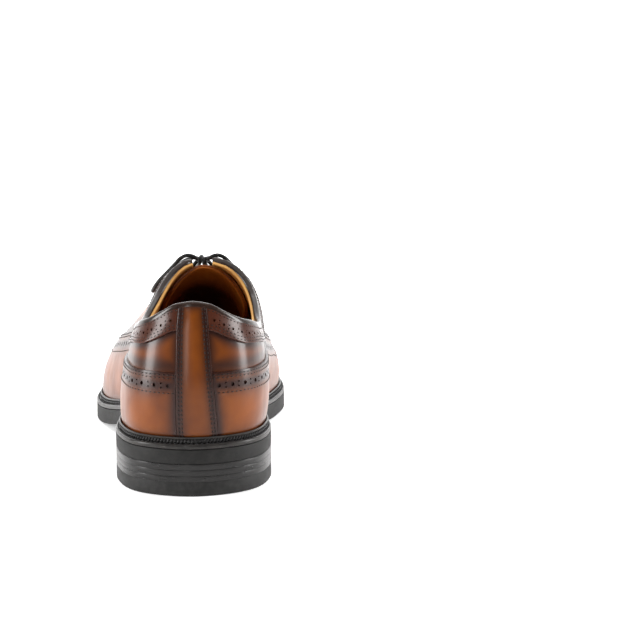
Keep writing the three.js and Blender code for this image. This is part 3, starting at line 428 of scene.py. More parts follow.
# %% Reading the last: points, normals and places
def look_up(name, walk, share, side):
    """The grid's value at (walk, share), blended from its four nearest knots."""
    grid = LAST[side][name]
    i = np.clip(np.asarray(walk, float) / 3 * (len(WALKS) - 1), 0, len(WALKS) - 1.000001)
    j = np.clip(np.asarray(share, float) * (len(SHARES) - 1), 0, len(SHARES) - 1.000001)
    i, j = np.broadcast_arrays(i, j)
    i0, j0 = i.astype(int), j.astype(int)
    u, v = i - i0, j - j0
    if grid.ndim == 3:
        u, v = u[..., None], v[..., None]
    low = grid[i0, j0] * (1 - u) + grid[i0 + 1, j0] * u
    high = grid[i0, j0 + 1] * (1 - u) + grid[i0 + 1, j0 + 1] * u
    return low * (1 - v) + high * v


def skin(walk, share, side, out):
    """A point a distance out from the last. Near the sole it keeps to the welt's slope."""
    point = look_up("points", walk, share, side)
    rise = look_up("rise", walk, share, side)
    out = np.broadcast_to(np.asarray(out, float), point.shape[:-1])[..., None]
    if "skived" in LAST[side]:
        out = np.where(out > 0, out * look_up("skived", walk, share, side), out)
    moved = point + look_up("normal", walk, share, side) * out
    lift = (feather_height(moved[..., 1]) - feather_height(point[..., 1])) * (1 - rise[..., 0])
    moved[..., 2] += lift
    return moved


def share_at_height(walk, side, z):
    column = look_up("height", walk, SHARES, side)
    return float(np.interp(z, column, SHARES))


def share_at_reach(walk, side, reach):
    column = look_up("reach", walk, SHARES, side)
    upper = SHARES >= 0.4
    return float(np.interp(-reach, -column[upper], SHARES[upper]))


FACING_GAP = 9.4
BACK_HEIGHT, DIP_HEIGHT = 94.0, 76.0
top_line = through([
    (0, BACK_HEIGHT), (0.18, BACK_HEIGHT - 1.2), (0.35, between(DIP_HEIGHT, BACK_HEIGHT, 0.72)),
    (0.55, between(DIP_HEIGHT, BACK_HEIGHT, 0.48)), (1, between(DIP_HEIGHT, BACK_HEIGHT, 0.18)),
    (walk_at(66), DIP_HEIGHT),
    (walk_at(92), between(DIP_HEIGHT, INSTEP, 0.42)), (walk_at(INSTEP_AT), INSTEP + 6),
])


def top_edge(walk, side):
    line = share_at_height(walk, side, float(top_line(walk)))
    return min(line, share_at_reach(walk, side, FACING_GAP / 2))


def below_top(walk, side, drop):
    """The share that lies a distance down the meridian from the upper's top edge."""
    r = look_up("reach", walk, SHARES, side)
    z = look_up("height", walk, SHARES, side)
    edge = top_edge(walk, side)
    away = np.hypot(r - np.interp(edge, SHARES, r), z - np.interp(edge, SHARES, z))
    under = SHARES <= edge
    return float(np.interp(-drop, -away[under], SHARES[under]))


print("back of the collar at share %.2f" % top_edge(0, LATERAL))

# %% [markdown]
# ## Skived edges
# A shoemaker skives leather, shaving it thin towards an edge, so that the collar is not a
# thick wall. Every layer's distance from the last is scaled down close to the top line.

# %% Skiving towards the top line
SKIVE_WIDTH = 14.0
SKIVE = 0.27


def skived(side):
    grid = np.ones((len(WALKS), len(SHARES), 1))
    for i, walk in enumerate(WALKS[WALKS < walk_at(THROAT_AT)]):
        r, z = LAST[side]["reach"][i], LAST[side]["height"][i]
        edge = top_edge(walk, side)
        away = np.hypot(r - np.interp(edge, SHARES, r), z - np.interp(edge, SHARES, z))
        away[SHARES > edge] = 0
        fading_from = walk_at(THROAT_AT - 30)
        fade = 1 - smooth_step((walk - fading_from) / (walk_at(THROAT_AT) - fading_from))
        grid[i, :, 0] = 1 - SKIVE * fade * (1 - smooth_step(away / SKIVE_WIDTH))
    return grid


for side in (LATERAL, MEDIAL):
    LAST[side]["skived"] = skived(side)
print("thinnest share of the full thickness: %.2f" % LAST[LATERAL]["skived"].min())

# %% [markdown]
# ## Sheets of leather
# A leather panel is a thin solid: an outer grid, an inner grid and a rim. Subdivision could
# round a coarse panel, but it would also pull it off the last, so the grid is fine from the
# start and a small bevel rounds the cut edges, as a shoemaker's edge iron does.

# %% Mesh helpers
def mesh_object(name, points, faces, body="shoe"):
    mesh = bpy.data.meshes.new(name)
    mesh.from_pydata(place(points).tolist(), [], faces)
    obj = bpy.data.objects.new(name, mesh)
    bpy.context.scene.collection.objects.link(obj)
    with_bmesh(obj, lambda bm: bmesh.ops.remove_doubles(bm, verts=bm.verts, dist=2e-6))
    with_bmesh(obj, lambda bm: bmesh.ops.recalc_face_normals(bm, faces=bm.faces))
    if body:
        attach(obj, body)
    return obj


def with_bmesh(obj, work):
    bm = bmesh.new()
    bm.from_mesh(obj.data)
    work(bm)
    bm.to_mesh(obj.data)
    bm.free()
    obj.data.update()


def apply_modifiers(obj):
    graph = bpy.context.evaluated_depsgraph_get()
    finished = bpy.data.meshes.new_from_object(obj.evaluated_get(graph))
    obj.modifiers.clear()
    old = obj.data
    obj.data = finished
    bpy.data.meshes.remove(old)


def round_edges(obj, width=0.35, segments=2, angle=50):
    bevel = obj.modifiers.new("rounded edges", "BEVEL")
    bevel.width = width / 1000
    bevel.segments = segments
    bevel.limit_method = "ANGLE"
    bevel.angle_limit = math.radians(angle)
    apply_modifiers(obj)


def shade(obj, sharp=42):
    """Smooth shading that stays crisp along edges sharper than an angle."""
    def mark(bm):
        for face in bm.faces:
            face.smooth = True
        for edge in bm.edges:
            edge.smooth = len(edge.link_faces) == 2 and edge.calc_face_angle(0) < math.radians(sharp)
    with_bmesh(obj, mark)


# %% A sheet of leather on the last
def as_edge(edge):
    return edge if callable(edge) else (lambda share, side: edge + 0 * share)


def sheet(name, start, end, border, inner, outer, sides=(LATERAL, MEDIAL), columns=120, rows=28, body="shoe"):
    """A closed sheet between two places on the walk and two shares given by border."""
    points, faces, count = [], [], 0
    for side in sides:
        first, last = as_edge(start), as_edge(end)
        c = np.linspace(0, 1, columns + 1)
        middle = between(first(0.5, side), last(0.5, side), c)
        edges = np.array([border(w, side) for w in middle])
        share = between(edges[:, :1], edges[:, 1:], np.linspace(0, 1, rows + 1)[None, :])
        walk = between(first(share, side), last(share, side), c[:, None])
        tops = [o(walk, share, side) if callable(o) else o for o in (inner, outer)]
        under, over = (skin(walk, share, side, o) for o in tops)
        points += [under.reshape(-1, 3), over.reshape(-1, 3)]
        layer = (columns + 1) * (rows + 1)
        ids = np.arange(layer).reshape(columns + 1, rows + 1) + count
        a, b = ids, ids + layer
        joined = len(sides) == 2
        new = [q for grid in (a, b) for q in quads(grid)]
        new += strip(a[:, 0], b[:, 0])
        ridge = joined & (edges[:, 1] > 1 - 1e-9)
        for i in range(columns):
            if not (ridge[i] and ridge[i + 1]):
                new.append((a[i, -1], a[i + 1, -1], b[i + 1, -1], b[i, -1]))
        if not (joined and not callable(start) and start == 0):
            new += strip(a[0], b[0])
        if not (joined and not callable(end) and end == 3):
            new += strip(a[-1], b[-1])
        faces += [tuple(int(v) for v in f) for f in new]
        count += 2 * layer
    return mesh_object(name, np.vstack(points), faces, body)


def quads(grid):
    return list(zip(
        grid[:-1, :-1].ravel(), grid[1:, :-1].ravel(), grid[1:, 1:].ravel(), grid[:-1, 1:].ravel(),
    ))


def strip(a, b):
    return list(zip(a[:-1], a[1:], b[1:], b[:-1]))


# %% Lines on the last: tracing, spacing and stepping aside
def trace(line, side, out=0.0):
    line = np.asarray(line, float)
    return skin(line[:, 0], line[:, 1], side, out)


def spaced(line, side, pitch, start=0.5):
    """The same line with a point every pitch millimetres, the first half a pitch in."""
    line = np.asarray(line, float)
    way = np.concatenate([[0], np.cumsum(np.linalg.norm(np.diff(trace(line, side), axis=0), axis=1))])
    count = max(1, int(round(way[-1] / pitch)))
    at = (np.arange(count) + start) * way[-1] / count
    return np.stack([np.interp(at, way, line[:, k]) for k in (0, 1)], axis=-1)


def aside(line, side, distance, toward="up"):
    """The line moved along the surface by a distance in millimetres, up or to the front."""
    line = np.asarray(line, float)
    step = 0.004
    u, v = line[:, 0], np.clip(line[:, 1], step, 1 - step)
    along_u = (skin(u + step, v, side, 0) - skin(u - step, v, side, 0)) / (2 * step)
    along_v = (skin(u, v + step, side, 0) - skin(u, v - step, side, 0)) / (2 * step)
    across = np.cross(look_up("normal", u, v, side), np.gradient(trace(line, side), axis=0))
    across /= np.maximum(np.linalg.norm(across, axis=1, keepdims=True), 1e-9)
    uu, uv, vv = (along_u**2).sum(1), (along_u * along_v).sum(1), (along_v**2).sum(1)
    pu, pv = (across * along_u).sum(1), (across * along_v).sum(1)
    det = np.maximum(uu * vv - uv**2, 1.0)
    du, dv = (pu * vv - pv * uv) / det, (pv * uu - pu * uv) / det
    way = np.sign((dv if toward == "up" else du).mean())
    return np.stack([u + du * distance * way, v + dv * distance * way], axis=-1)


# %% [markdown]
# ## Stitches and punched holes
# Painted stitches vanish in raking light, so each one is a short rounded thread that sinks
# into the leather at both ends. The decoration of a brogue is punched right through the top
# layer, so the holes are cut with a boolean and show the dark layer underneath.

# %% Threads
THREAD_RINGS = ((-0.5, 0.35), (-0.32, 0.85), (0.0, 1.0), (0.32, 0.85), (0.5, 0.35))
THREAD_SIDES = 6


def threads(name, strokes, body="shoe"):
    """One mesh of many threads. A stroke is (centre, along, up, length, radius)."""
    angles = np.arange(THREAD_SIDES) * 2 * math.pi / THREAD_SIDES
    shape = np.array([(x, s * math.cos(a), s * math.sin(a)) for x, s in THREAD_RINGS for a in angles])
    rings = np.arange(len(shape)).reshape(len(THREAD_RINGS), THREAD_SIDES)
    closed = np.hstack([rings, rings[:, :1]])
    template = quads(closed) + [tuple(rings[0]), tuple(rings[-1][::-1])]
    points, faces = [], []
    for k, (centre, along, up, length, radius) in enumerate(strokes):
        x = along / np.linalg.norm(along)
        y = np.cross(up, x)
        y /= np.linalg.norm(y)
        z = np.cross(x, y)
        sag = -1.1 * radius * (2 * np.abs(shape[:, 0])) ** 2
        points.append(
            centre + shape[:, :1] * length * x + shape[:, 1:2] * radius * y
            + (shape[:, 2:] * radius + sag[:, None]) * z
        )
        faces += [tuple(int(v) + k * len(shape) for v in f) for f in template]
    obj = mesh_object(name, np.vstack(points), faces, body)
    shade(obj, 180)
    return obj


def stitch_strokes(line, side, out, pitch=2.1, length=1.55, radius=0.24):
    places = spaced(line, side, pitch)
    at = trace(places, side, out)
    along = np.gradient(at, axis=0)
    up = look_up("normal", places[:, 0], places[:, 1], side)
    return [(p + n * radius * 0.55, a, n, length, radius) for p, a, n in zip(at, along, up)]


# %% Punches
def punch_marks(line, side, out, pitch, radius, start=0.5, depth=1.5):
    places = spaced(line, side, pitch, start)
    at = trace(places, side, out)
    up = look_up("normal", places[:, 0], places[:, 1], side)
    return [(p, n, radius, depth) for p, n in zip(at, up)]


def punch(obj, marks, sides=10):
    """Cuts round holes through the piece. A mark is (centre, normal, radius, depth)."""
    points, faces = [], []
    angles = np.arange(sides) * 2 * math.pi / sides
    for k, (centre, normal, radius, depth) in enumerate(marks):
        x = np.cross(normal, (0.3, 0.2, 1.0))
        x /= np.linalg.norm(x)
        y = np.cross(normal, x)
        ring = radius * (np.cos(angles)[:, None] * x + np.sin(angles)[:, None] * y)
        base = 2 * sides * k
        points += [centre + ring + normal * 1.2, centre + ring - normal * depth]
        low, high = np.arange(sides) + base + sides, np.arange(sides) + base
        faces += [tuple(int(v) for v in high), tuple(int(v) for v in low[::-1])]
        faces += [
            (int(low[i]), int(low[(i + 1) % sides]), int(high[(i + 1) % sides]), int(high[i]))
            for i in range(sides)
        ]
    cutter = mesh_object(obj.name + "_punch", np.vstack(points), faces, body=None)
    hole = obj.modifiers.new("holes", "BOOLEAN")
    hole.operation = "DIFFERENCE"
    hole.solver = "MANIFOLD"
    hole.object = cutter
    apply_modifiers(obj)
    bpy.data.objects.remove(cutter)
    print(obj.name, "has", len(marks), "punched holes and", len(obj.data.polygons), "faces")


# %% [markdown]
# ## Layers and seam lines
# The lining lies on the last. Vamp, quarters and the decorated overlays come on top of each
# other, each a leather's thickness further out, so every cut edge stands up as a real step.

# %% Layers and seam lines of the upper
VAMP_OUT, QUARTER_OUT = 3.42, 4.74
WING_POINT = 226.0
BACKSTAY_HALF, BACKSTAY_FLARE = 8.0, 4.5
TOP_DROP = 2.5
band_width = through([(0, 11.0), (0.35, 11.0), (1, 8.0)])
HEEL_ARC = (float(feather_reach(0, MEDIAL)) + OVERLAY_OUT) * math.pi / 2
QUARTER_FRONT = THROAT_AT + 20
SIDES = (("lateral", LATERAL), ("medial", MEDIAL))

wing_height = through([
    (0, 60), (walk_at(125), 60), (walk_at(160), 53), (walk_at(195), 46),
])


def wing_share(walk, side):
    along_side = min(share_at_height(walk, side, float(wing_height(walk))), 0.62)
    rise = smooth_step((walk - walk_at(200)) / (walk_at(WING_POINT) - walk_at(200)))
    return between(along_side, 0.7, float(rise))


def backstay_edge(share, side):
    flare = BACKSTAY_FLARE * np.clip(1 - share / 0.45, 0, 1) ** 1.5
    return (BACKSTAY_HALF + flare * (side == MEDIAL)) / HEEL_ARC


def beside_backstay(share, side):
    return backstay_edge(share, side) + 0.15 / HEEL_ARC


def quarter_share(walk, side):
    start = walk_at(THROAT_AT - 3)
    throat = smooth_step((walk - start) / (walk_at(QUARTER_FRONT) - start))
    return between(below_top(walk, side, TOP_DROP), 0.42, float(throat))


vamp_share = through([
    (walk_at(130), 0.3), (walk_at(150), 0.42), (walk_at(163), 0.64), (walk_at(THROAT_AT), 1),
])


def line_of(share_of, start, end, side, count=160):
    walks = np.linspace(float(start), float(end), count)
    return np.array([(w, share_of(w, side)) for w in walks])


WING_LINE = {side: line_of(wing_share, beside_backstay(0.4, side), walk_at(205), side) for _, side in SIDES}
COLLAR_END = walk_at(INSTEP_AT - 3)
BAND_END = walk_at(INSTEP_AT - 9)
BAND_LOW = {
    side: line_of(
        lambda w, s: below_top(w, s, TOP_DROP + band_width(w)), beside_backstay(0.5, side), BAND_END, side,
    )
    for _, side in SIDES
}
print("wing line: %.0f mm a side" % length_of(trace(WING_LINE[LATERAL], LATERAL)))

# %% [markdown]
# ## Linings
# The lining is what the foot touches: smooth tan calf round the heel and instep, and a
# thinner lining under the vamp. It is seen through the mouth, so it gets a fine surface too.

# %% Linings of the quarters and the vamp
LINING_OUT = 0.9


def lining_border(walk, side):
    return 0.0, below_top(walk, side, 0.5)


TURNED_EDGE = 7
TURNED_THICKNESS = 0.9
TURNED_FADE = 0.02


def lining_outer(walk, share, side):
    """The lining is turned double for the last few millimetres under the top line."""
    outer = np.full(share.shape, LINING_OUT)
    for i, w in enumerate(walk[:, 0]):
        turned_in = share[i] - below_top(w, side, TURNED_EDGE)
        outer[i] += TURNED_THICKNESS * smooth_step(turned_in / TURNED_FADE)
    return outer


quarter_lining = sheet(
    "lining_of_quarters", 0, walk_at(THROAT_AT - 4), lining_border, 0, lining_outer, columns=170, rows=50,
)
round_edges(quarter_lining, 0.4)
vamp_lining = sheet(
    "lining_of_vamp", walk_at(THROAT_AT + 2), 3, lambda w, s: (0, 1), 0, LINING_OUT, columns=90, rows=24,
)
for piece, node in ((quarter_lining, "quarter_lining"), (vamp_lining, "vamp_lining")):
    shade(piece)
    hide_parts(node)
print("linings:", len(quarter_lining.data.polygons) + len(vamp_lining.data.polygons), "faces")

# %% [markdown]
# ## Vamp and quarters
# The vamp covers the toes and ends at the throat; the two quarters lie on top of it and
# carry the lacing, which is what makes this a derby. The quarters' front edges fold in to
# meet the lining, so the facing is one solid leather edge with a hole for every lace turn.

# %% Vamp
vamp = sheet(
    "vamp_leather", walk_at(130), 3, lambda w, s: (0, float(vamp_share(w))), 2.5, VAMP_OUT,
    columns=150, rows=40,
)
round_edges(vamp)
shade(vamp)
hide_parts("vamp")
print("vamp:", len(vamp.data.polygons), "faces")

# %% Quarters with their lace holes
EYELET_ROWS, EYELET_FROM_EDGE, FIRST_EYELET, EYELET_PITCH = 5, 9.0, 122.0, 9.6
HOLE_REACH = FACING_GAP / 2 + EYELET_FROM_EDGE
LACE_HOLE = 1.75


def eyelet_place(row, side):
    walk = float(walk_at(FIRST_EYELET + row * EYELET_PITCH))
    return walk, share_at_reach(walk, side, HOLE_REACH)


def folded_in(walk, share, side):
    """The quarter's inner face: clear of the counter below, down on the lining at its edges."""
    inner = np.full(share.shape, 3.2)
    for i, w in enumerate(walk[:, 0]):
        close, far = below_top(w, side, 12), below_top(w, side, 24)
        inner[i] = 3.2 - 2.25 * smooth_step((share[i] - far) / (close - far))
    return inner


quarters = {}
for name, side in SIDES:
    quarter = sheet(
        "quarter_leather_" + name, 0.12 / HEEL_ARC, walk_at(QUARTER_FRONT),
        lambda w, s: (0, quarter_share(w, s)),
        folded_in, QUARTER_OUT, sides=(side,), columns=170, rows=44,
    )
    round_edges(quarter)
    holes = []
    for row in range(EYELET_ROWS):
        at = np.array([eyelet_place(row, side)])
        up = look_up("normal", at[:, 0], at[:, 1], side)[0]
        holes.append((trace(at, side, QUARTER_OUT)[0], up, LACE_HOLE, 8.0))
    quarters[side] = (quarter, holes)
print("lace holes:", sum(len(h) for _, h in quarters.values()))

# %% [markdown]
# ## Brogueing of the facing
# A line of large and small holes follows the facing edge down to the throat, between two
# rows of stitches. It is punched in the same cut as the lace holes.

# %% Facing line, punched and stitched
BIG_HOLE, SMALL_HOLE = 0.85, 0.42


def brogue_marks(line, side, out, pitch, big=BIG_HOLE, small=SMALL_HOLE, spread=0.95, depth=1.35):
    """Large holes along a line, with a pair of small ones between each two."""
    marks = punch_marks(line, side, out, pitch, big, 0.5, depth)
    for step in (-spread, spread):
        marks += punch_marks(aside(line, side, step), side, out, pitch, small, 0.0, depth)[1:]
    return marks


def facing_line(side):
    """From the collar band's front, down beside the eyelets and round the throat."""
    walks = np.linspace(float(walk_at(122)), float(walk_at(THROAT_AT + 16)), 90)
    line = []
    for w in walks:
        down = 14.5 + 3.5 * smooth_step((w - walk_at(THROAT_AT - 14)) / 0.1)
        line.append((w, min(below_top(w, side, down), quarter_share(w, side) - 0.035)))
    return np.array(line)


upper_stitches, seam_points = [], {"quarter": [], "wing": [], "vamp": []}
for name, side in SIDES:
    quarter, holes = quarters[side]
    line = facing_line(side)
    marks = brogue_marks(line, side, QUARTER_OUT, 5.6, 0.75, 0.38, 0.9)
    punch(quarter, holes + marks)
    shade(quarter)
    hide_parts("quarter_" + name)
    edge = line_of(quarter_share, walk_at(117), walk_at(QUARTER_FRONT - 3), side, 200)
    for step in (2.0, 3.6):
        upper_stitches += stitch_strokes(aside(edge, side, -step), side, QUARTER_OUT)
    for step in (-2.6, 2.6):
        upper_stitches += stitch_strokes(aside(line, side, step), side, QUARTER_OUT)
    seam_points["quarter"] += list(trace(line, side, QUARTER_OUT)) + list(trace(edge, side, QUARTER_OUT))
print("stitches so far:", len(upper_stitches))

# %% [markdown]
# ## Wing cap
# The wings of a longwing run all the way back to the backstay. At the toe the top edge is
# drawn up into a point, which gives the W seen from above. The sheet is made whole and the
# two bays beside the point are then cut out with a boolean, as a knife would.

# %% Wing cap: sheet and W-shaped tip
WING_TIP = 207.0
WING_BAY = 231.0
WING_JUMP = 203.0


def toe_drop(walk, share):
    """How far the overlay has come down from the quarter on to the vamp, 0 to 1."""
    forward = smooth_step((walk - walk_at(186)) / (walk_at(206) - walk_at(186)))
    return forward * smooth_step((share - 0.25) / 0.25)


def wing_out(walk, share, side=None):
    return OVERLAY_OUT - 1.15 * toe_drop(walk, share)


def wing_inner(walk, share, side):
    return 4.76 - 1.3 * toe_drop(walk, share)


def wing_border(walk, side):
    return (0, 1) if walk >= walk_at(WING_JUMP) else (0, wing_share(walk, side))


wing = sheet("wing_cap_leather", beside_backstay, 3, wing_border, wing_inner, wing_out, columns=300, rows=44)
corner_walk = walk_at(WING_JUMP - 3)
corner = {
    side: trace([(corner_walk, wing_share(corner_walk, side))], side, 5.6)[0]
    for side in (LATERAL, MEDIAL)
}
print("wing cap:", len(wing.data.polygons), "faces")

# %% Wing cap: cutting the two bays
def bay_curve(side):
    """The top edge from the tip round one bay to the wing, seen from above."""
    reach = abs(corner[side][0] - TOE_SWING)
    dip = through([
        (0, WING_TIP), (0.16, WING_TIP + 12), (0.38, WING_BAY - 2), (0.55, WING_BAY),
        (0.76, WING_BAY - 7), (0.93, WING_JUMP + 4), (1.02, WING_JUMP - 6),
    ])
    u = np.linspace(0, 1.02, 60)
    return np.stack([TOE_SWING + side * u * reach, dip(u)], axis=-1)


for _, side in SIDES:
    curve = bay_curve(side)
    back = np.array([[curve[-1, 0], 190.0], [TOE_SWING, 190.0]])
    loop = np.vstack([curve, back])
    low = np.hstack([loop, np.full((len(loop), 1), 28.0)])
    high = np.hstack([loop, np.full((len(loop), 1), 95.0)])
    n = len(loop)
    walls = [(i, (i + 1) % n, n + (i + 1) % n, n + i) for i in range(n)]
    ends = [tuple(range(n)), tuple(range(2 * n - 1, n - 1, -1))]
    knife = mesh_object("bay_knife", np.vstack([low, high]), walls + ends, None)
    cut = wing.modifiers.new("bay", "BOOLEAN")
    cut.operation = "DIFFERENCE"
    cut.solver = "MANIFOLD"
    cut.object = knife
    apply_modifiers(wing)
    bpy.data.objects.remove(knife)
round_edges(wing, 0.3)
print("wing cap after the cut:", len(wing.data.polygons), "faces")

# %% Wing cap: brogueing and stitches along the whole edge
def on_top(points, side):
    """Places on the last straight below points seen from above, on the forepart."""
    found = []
    for x, y in points:
        walk = float(walk_at(y))
        found.append((walk, share_at_reach(walk, side, abs(x - float(spine_x(y))))))
    return np.array(found)


def wing_edge(side):
    back = WING_LINE[side][WING_LINE[side][:, 0] < walk_at(WING_JUMP - 9)]
    bay = on_top(bay_curve(side)[:-4][::-1] + np.array([[side * 0.6, 0.0]]), side)
    line = np.vstack([back, bay])
    for _ in range(3):
        line[1:-1] = (line[:-2] + 2 * line[1:-1] + line[2:]) / 4
    return line


def thread_on(line, side, out_of, pitch=2.1, length=1.55, radius=0.24):
    places = spaced(line, side, pitch)
    out = out_of(places[:, 0], places[:, 1])
    at = trace(places, side, out)
    along = np.gradient(at, axis=0)
    up = look_up("normal", places[:, 0], places[:, 1], side)
    return [(p + n * radius * 0.55, a, n, length, radius) for p, a, n in zip(at, along, up)]


def marks_on(line, side, out_of, pitch, radius, start=0.5, depth=1.1):
    places = spaced(line, side, pitch, start)
    at = trace(places, side, out_of(places[:, 0], places[:, 1]))
    up = look_up("normal", places[:, 0], places[:, 1], side)
    return [(p, n, radius, depth) for p, n in zip(at, up)]


wing_marks = []
for name, side in SIDES:
    edge = wing_edge(side)
    middle = aside(edge, side, -6.4)
    wing_marks += marks_on(middle, side, wing_out, 6.4, 1.0)
    for step in (-1.05, 1.05):
        wing_marks += marks_on(aside(middle, side, step), side, wing_out, 6.4, 0.45, 0.0)[1:]
    for step in (1.2, 2.7, 10.2):
        upper_stitches += thread_on(aside(edge, side, -step), side, wing_out)
    seam_points["wing"] += list(trace(middle, side, OVERLAY_OUT)) + list(trace(edge, side, OVERLAY_OUT))
    seam_points["vamp"] += list(trace(aside(edge, side, 3), side, VAMP_OUT))
punch(wing, wing_marks)
shade(wing)
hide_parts("wing_cap")
print("stitches so far:", len(upper_stitches))

# %% [markdown]
# ## Collar bands and backstay
# A strip of dark leather runs round the collar just under its rolled edge, and a tapered
# strip, the backstay, covers the seam at the back of the heel. Both are stitched flat on
# the quarters, close to every edge.

# %% Collar bands
for name, side in SIDES:
    def band_border(walk, side):
        return below_top(walk, side, TOP_DROP + band_width(walk)), below_top(walk, side, TOP_DROP)

    band = sheet(
        "collar_band_leather_" + name, beside_backstay, BAND_END, band_border, 4.7, OVERLAY_OUT,
        sides=(side,), columns=110, rows=14,
    )
    round_edges(band)
    low = BAND_LOW[side]
    middle = line_of(
        lambda w, s: below_top(w, s, TOP_DROP + band_width(w) / 2),
        beside_backstay(0.5, side) + 0.01, BAND_END - 0.01, side,
    )
    punch(band, brogue_marks(middle, side, OVERLAY_OUT, 5.0, 0.72, 0.38, 0.9))
    shade(band)
    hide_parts("collar_band_" + name)
    for step in (1.2, 2.6):
        upper_stitches += stitch_strokes(aside(low, side, step), side, OVERLAY_OUT, 1.9, 1.4, 0.2)
    high = line_of(lambda w, s: below_top(w, s, TOP_DROP + 1.2), beside_backstay(0.6, side), BAND_END, side)
    upper_stitches += stitch_strokes(high, side, OVERLAY_OUT, 1.9, 1.4, 0.2)
    seam_points["quarter"] += list(trace(low, side, QUARTER_OUT))
print("stitches so far:", len(upper_stitches))

# %% Backstay
def backstay_border(walk, side):
    return 0, below_top(walk, side, TOP_DROP)


backstay = sheet(
    "backstay_leather", 0, backstay_edge, backstay_border, 4.7, OVERLAY_OUT + 0.12, columns=16, rows=70,
)
round_edges(backstay)
shade(backstay)
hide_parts("backstay")
for name, side in SIDES:
    for step in (1.3, 2.8):
        shares = np.linspace(0.012, backstay_border(0, side)[1] - 0.004, 90)
        line = np.stack([backstay_edge(shares, side) - step / HEEL_ARC, shares], axis=-1)
        upper_stitches += stitch_strokes(line, side, OVERLAY_OUT + 0.12, 2.1, 1.5, 0.27)
    edge = np.stack([backstay_edge(shares, side), shares], axis=-1)
    seam_points["wing"] += list(trace(edge, side, OVERLAY_OUT))
    seam_points["quarter"] += list(trace(edge, side, OVERLAY_OUT))
print("stitches so far:", len(upper_stitches))

# %% All stitches of the upper, in one piece
stitching = threads("upper_stitching", upper_stitches)
print("upper stitching:", len(stitching.data.polygons), "faces")

# %% [markdown]
# ## Rolled top line
# The collar's edge is a strip of thin leather rolled over all the layers. It is one closed
# tube with a half-round top, swept from facing to facing round the back.

# %% Top-line binding
def binding_ring(walk, side):
    low, edge = below_top(walk, side, 2.3), top_edge(walk, side)
    turn = np.linspace(0, math.pi, 15)
    outer, inner = OVERLAY_OUT + 0.15, 1.7
    out = (outer + inner) / 2 + (outer - inner) / 2 * np.sign(np.cos(turn)) * np.abs(np.cos(turn)) ** 0.7
    share = low + (edge - low) * np.sin(turn) ** 0.7
    out = np.concatenate([[outer - 0.1], out, [inner + 0.1]])
    share = np.concatenate([[low - 0.004], share, [low - 0.004]])
    return skin(walk, share, side, out)


rings = [binding_ring(w, LATERAL) for w in np.linspace(float(COLLAR_END), 0, 130)]
rings += [binding_ring(w, MEDIAL) for w in np.linspace(0, float(COLLAR_END), 130)[1:]]
ids = np.arange(len(rings) * len(rings[0])).reshape(len(rings), -1)
closed = np.hstack([ids, ids[:, :1]])
caps = [tuple(int(v) for v in ids[0]), tuple(int(v) for v in ids[-1][::-1])]
faces = [tuple(int(v) for v in f) for f in quads(closed)] + caps
binding = mesh_object("rolled_top_line", np.vstack(rings), faces)
shade(binding, 60)
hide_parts("topline_binding")
print("binding:", len(binding.data.polygons), "faces")

# %% [markdown]
# ## Tongue
# The tongue is sewn in at the throat and lies under the lacing. It turns about that seam
# when the shoe is opened, so leather and lining ride together on the tongue's own body.

# %% Tongue and its lining
TONGUE_BACK, TONGUE_FRONT = walk_at(INSTEP_AT - 5), walk_at(THROAT_AT - 1)


def tongue_border(walk, side):
    top = float(look_up("height", walk, 1.0, side))
    along = float(smooth_step((walk - TONGUE_BACK) / (TONGUE_FRONT - TONGUE_BACK)))
    corner_cut = 5.0 * math.exp(-((walk - TONGUE_BACK) / 0.022))
    return share_at_height(walk, side, top - between(27, 10, along) + corner_cut), 1.0


TONGUE_SPRING = 2.7
SPRING_FROM = 124


def springing(offset):
    """The tongue's free end springs up behind the knot, to lie just under the facings."""
    def out(walk, share, side):
        start = walk_at(SPRING_FROM)
        return offset + TONGUE_SPRING * smooth_step((start - walk) / (start - TONGUE_BACK))
    return out


tongue = sheet(
    "tongue_leather", TONGUE_BACK, TONGUE_FRONT, tongue_border,
    springing(-4.6), springing(-3.45), columns=60, rows=30, body="tongue",
)
tongue_lining = sheet(
    "tongue_lining_leather", TONGUE_BACK, TONGUE_FRONT, tongue_border,
    springing(-5.7), springing(-4.65), columns=60, rows=30, body="tongue",
)
for piece, node, slot in (
    (tongue, "tongue", "upper_leather"), (tongue_lining, "tongue_lining", "lining_leather"),
):
    round_edges(piece, 0.3)
    shade(piece)
    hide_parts(node)
print("tongue:", len(tongue.data.polygons), "faces")

# %% [markdown]
# ## Lacing
# The lace is threaded in straight bars: up through one hole, across, and down through the
# other, with the long runs hidden under the facings. The run is held all along by its
# holes, so it is a plain curve through the same places as in CAD.

# %% Lace run under and over the facings
LACE_RADIUS = LACE_DIAMETER / 2
LACE_OVER = QUARTER_OUT + LACE_RADIUS + 0.1
LACE_UNDER = -LACE_RADIUS - 0.3
RUN_SHIFT = 3.4


def on_facing(y, reach, side, out):
    walk = float(walk_at(y))
    return skin(walk, share_at_reach(walk, side, reach), side, out)


def row_y(row):
    return FIRST_EYELET + row * EYELET_PITCH


def up_through(row, side):
    y = row_y(row)
    return [
        on_facing(y, HOLE_REACH, side, LACE_UNDER), on_facing(y, HOLE_REACH, side, 0.9),
        on_facing(y, HOLE_REACH, side, 3.84), on_facing(y, HOLE_REACH - 1.2, side, LACE_OVER),
    ]


def across(row, side):
    return [on_facing(row_y(row), FACING_GAP / 2 + 1, s, LACE_OVER) for s in (side, -side)]


def bar(row, side):
    return up_through(row, side) + across(row, side) + up_through(row, -side)[::-1]


def under(a, b, side, shift):
    return [
        on_facing(between(row_y(a), row_y(b), u), HOLE_REACH + shift, side, LACE_UNDER)
        for u in (0.35, 0.65)
    ]


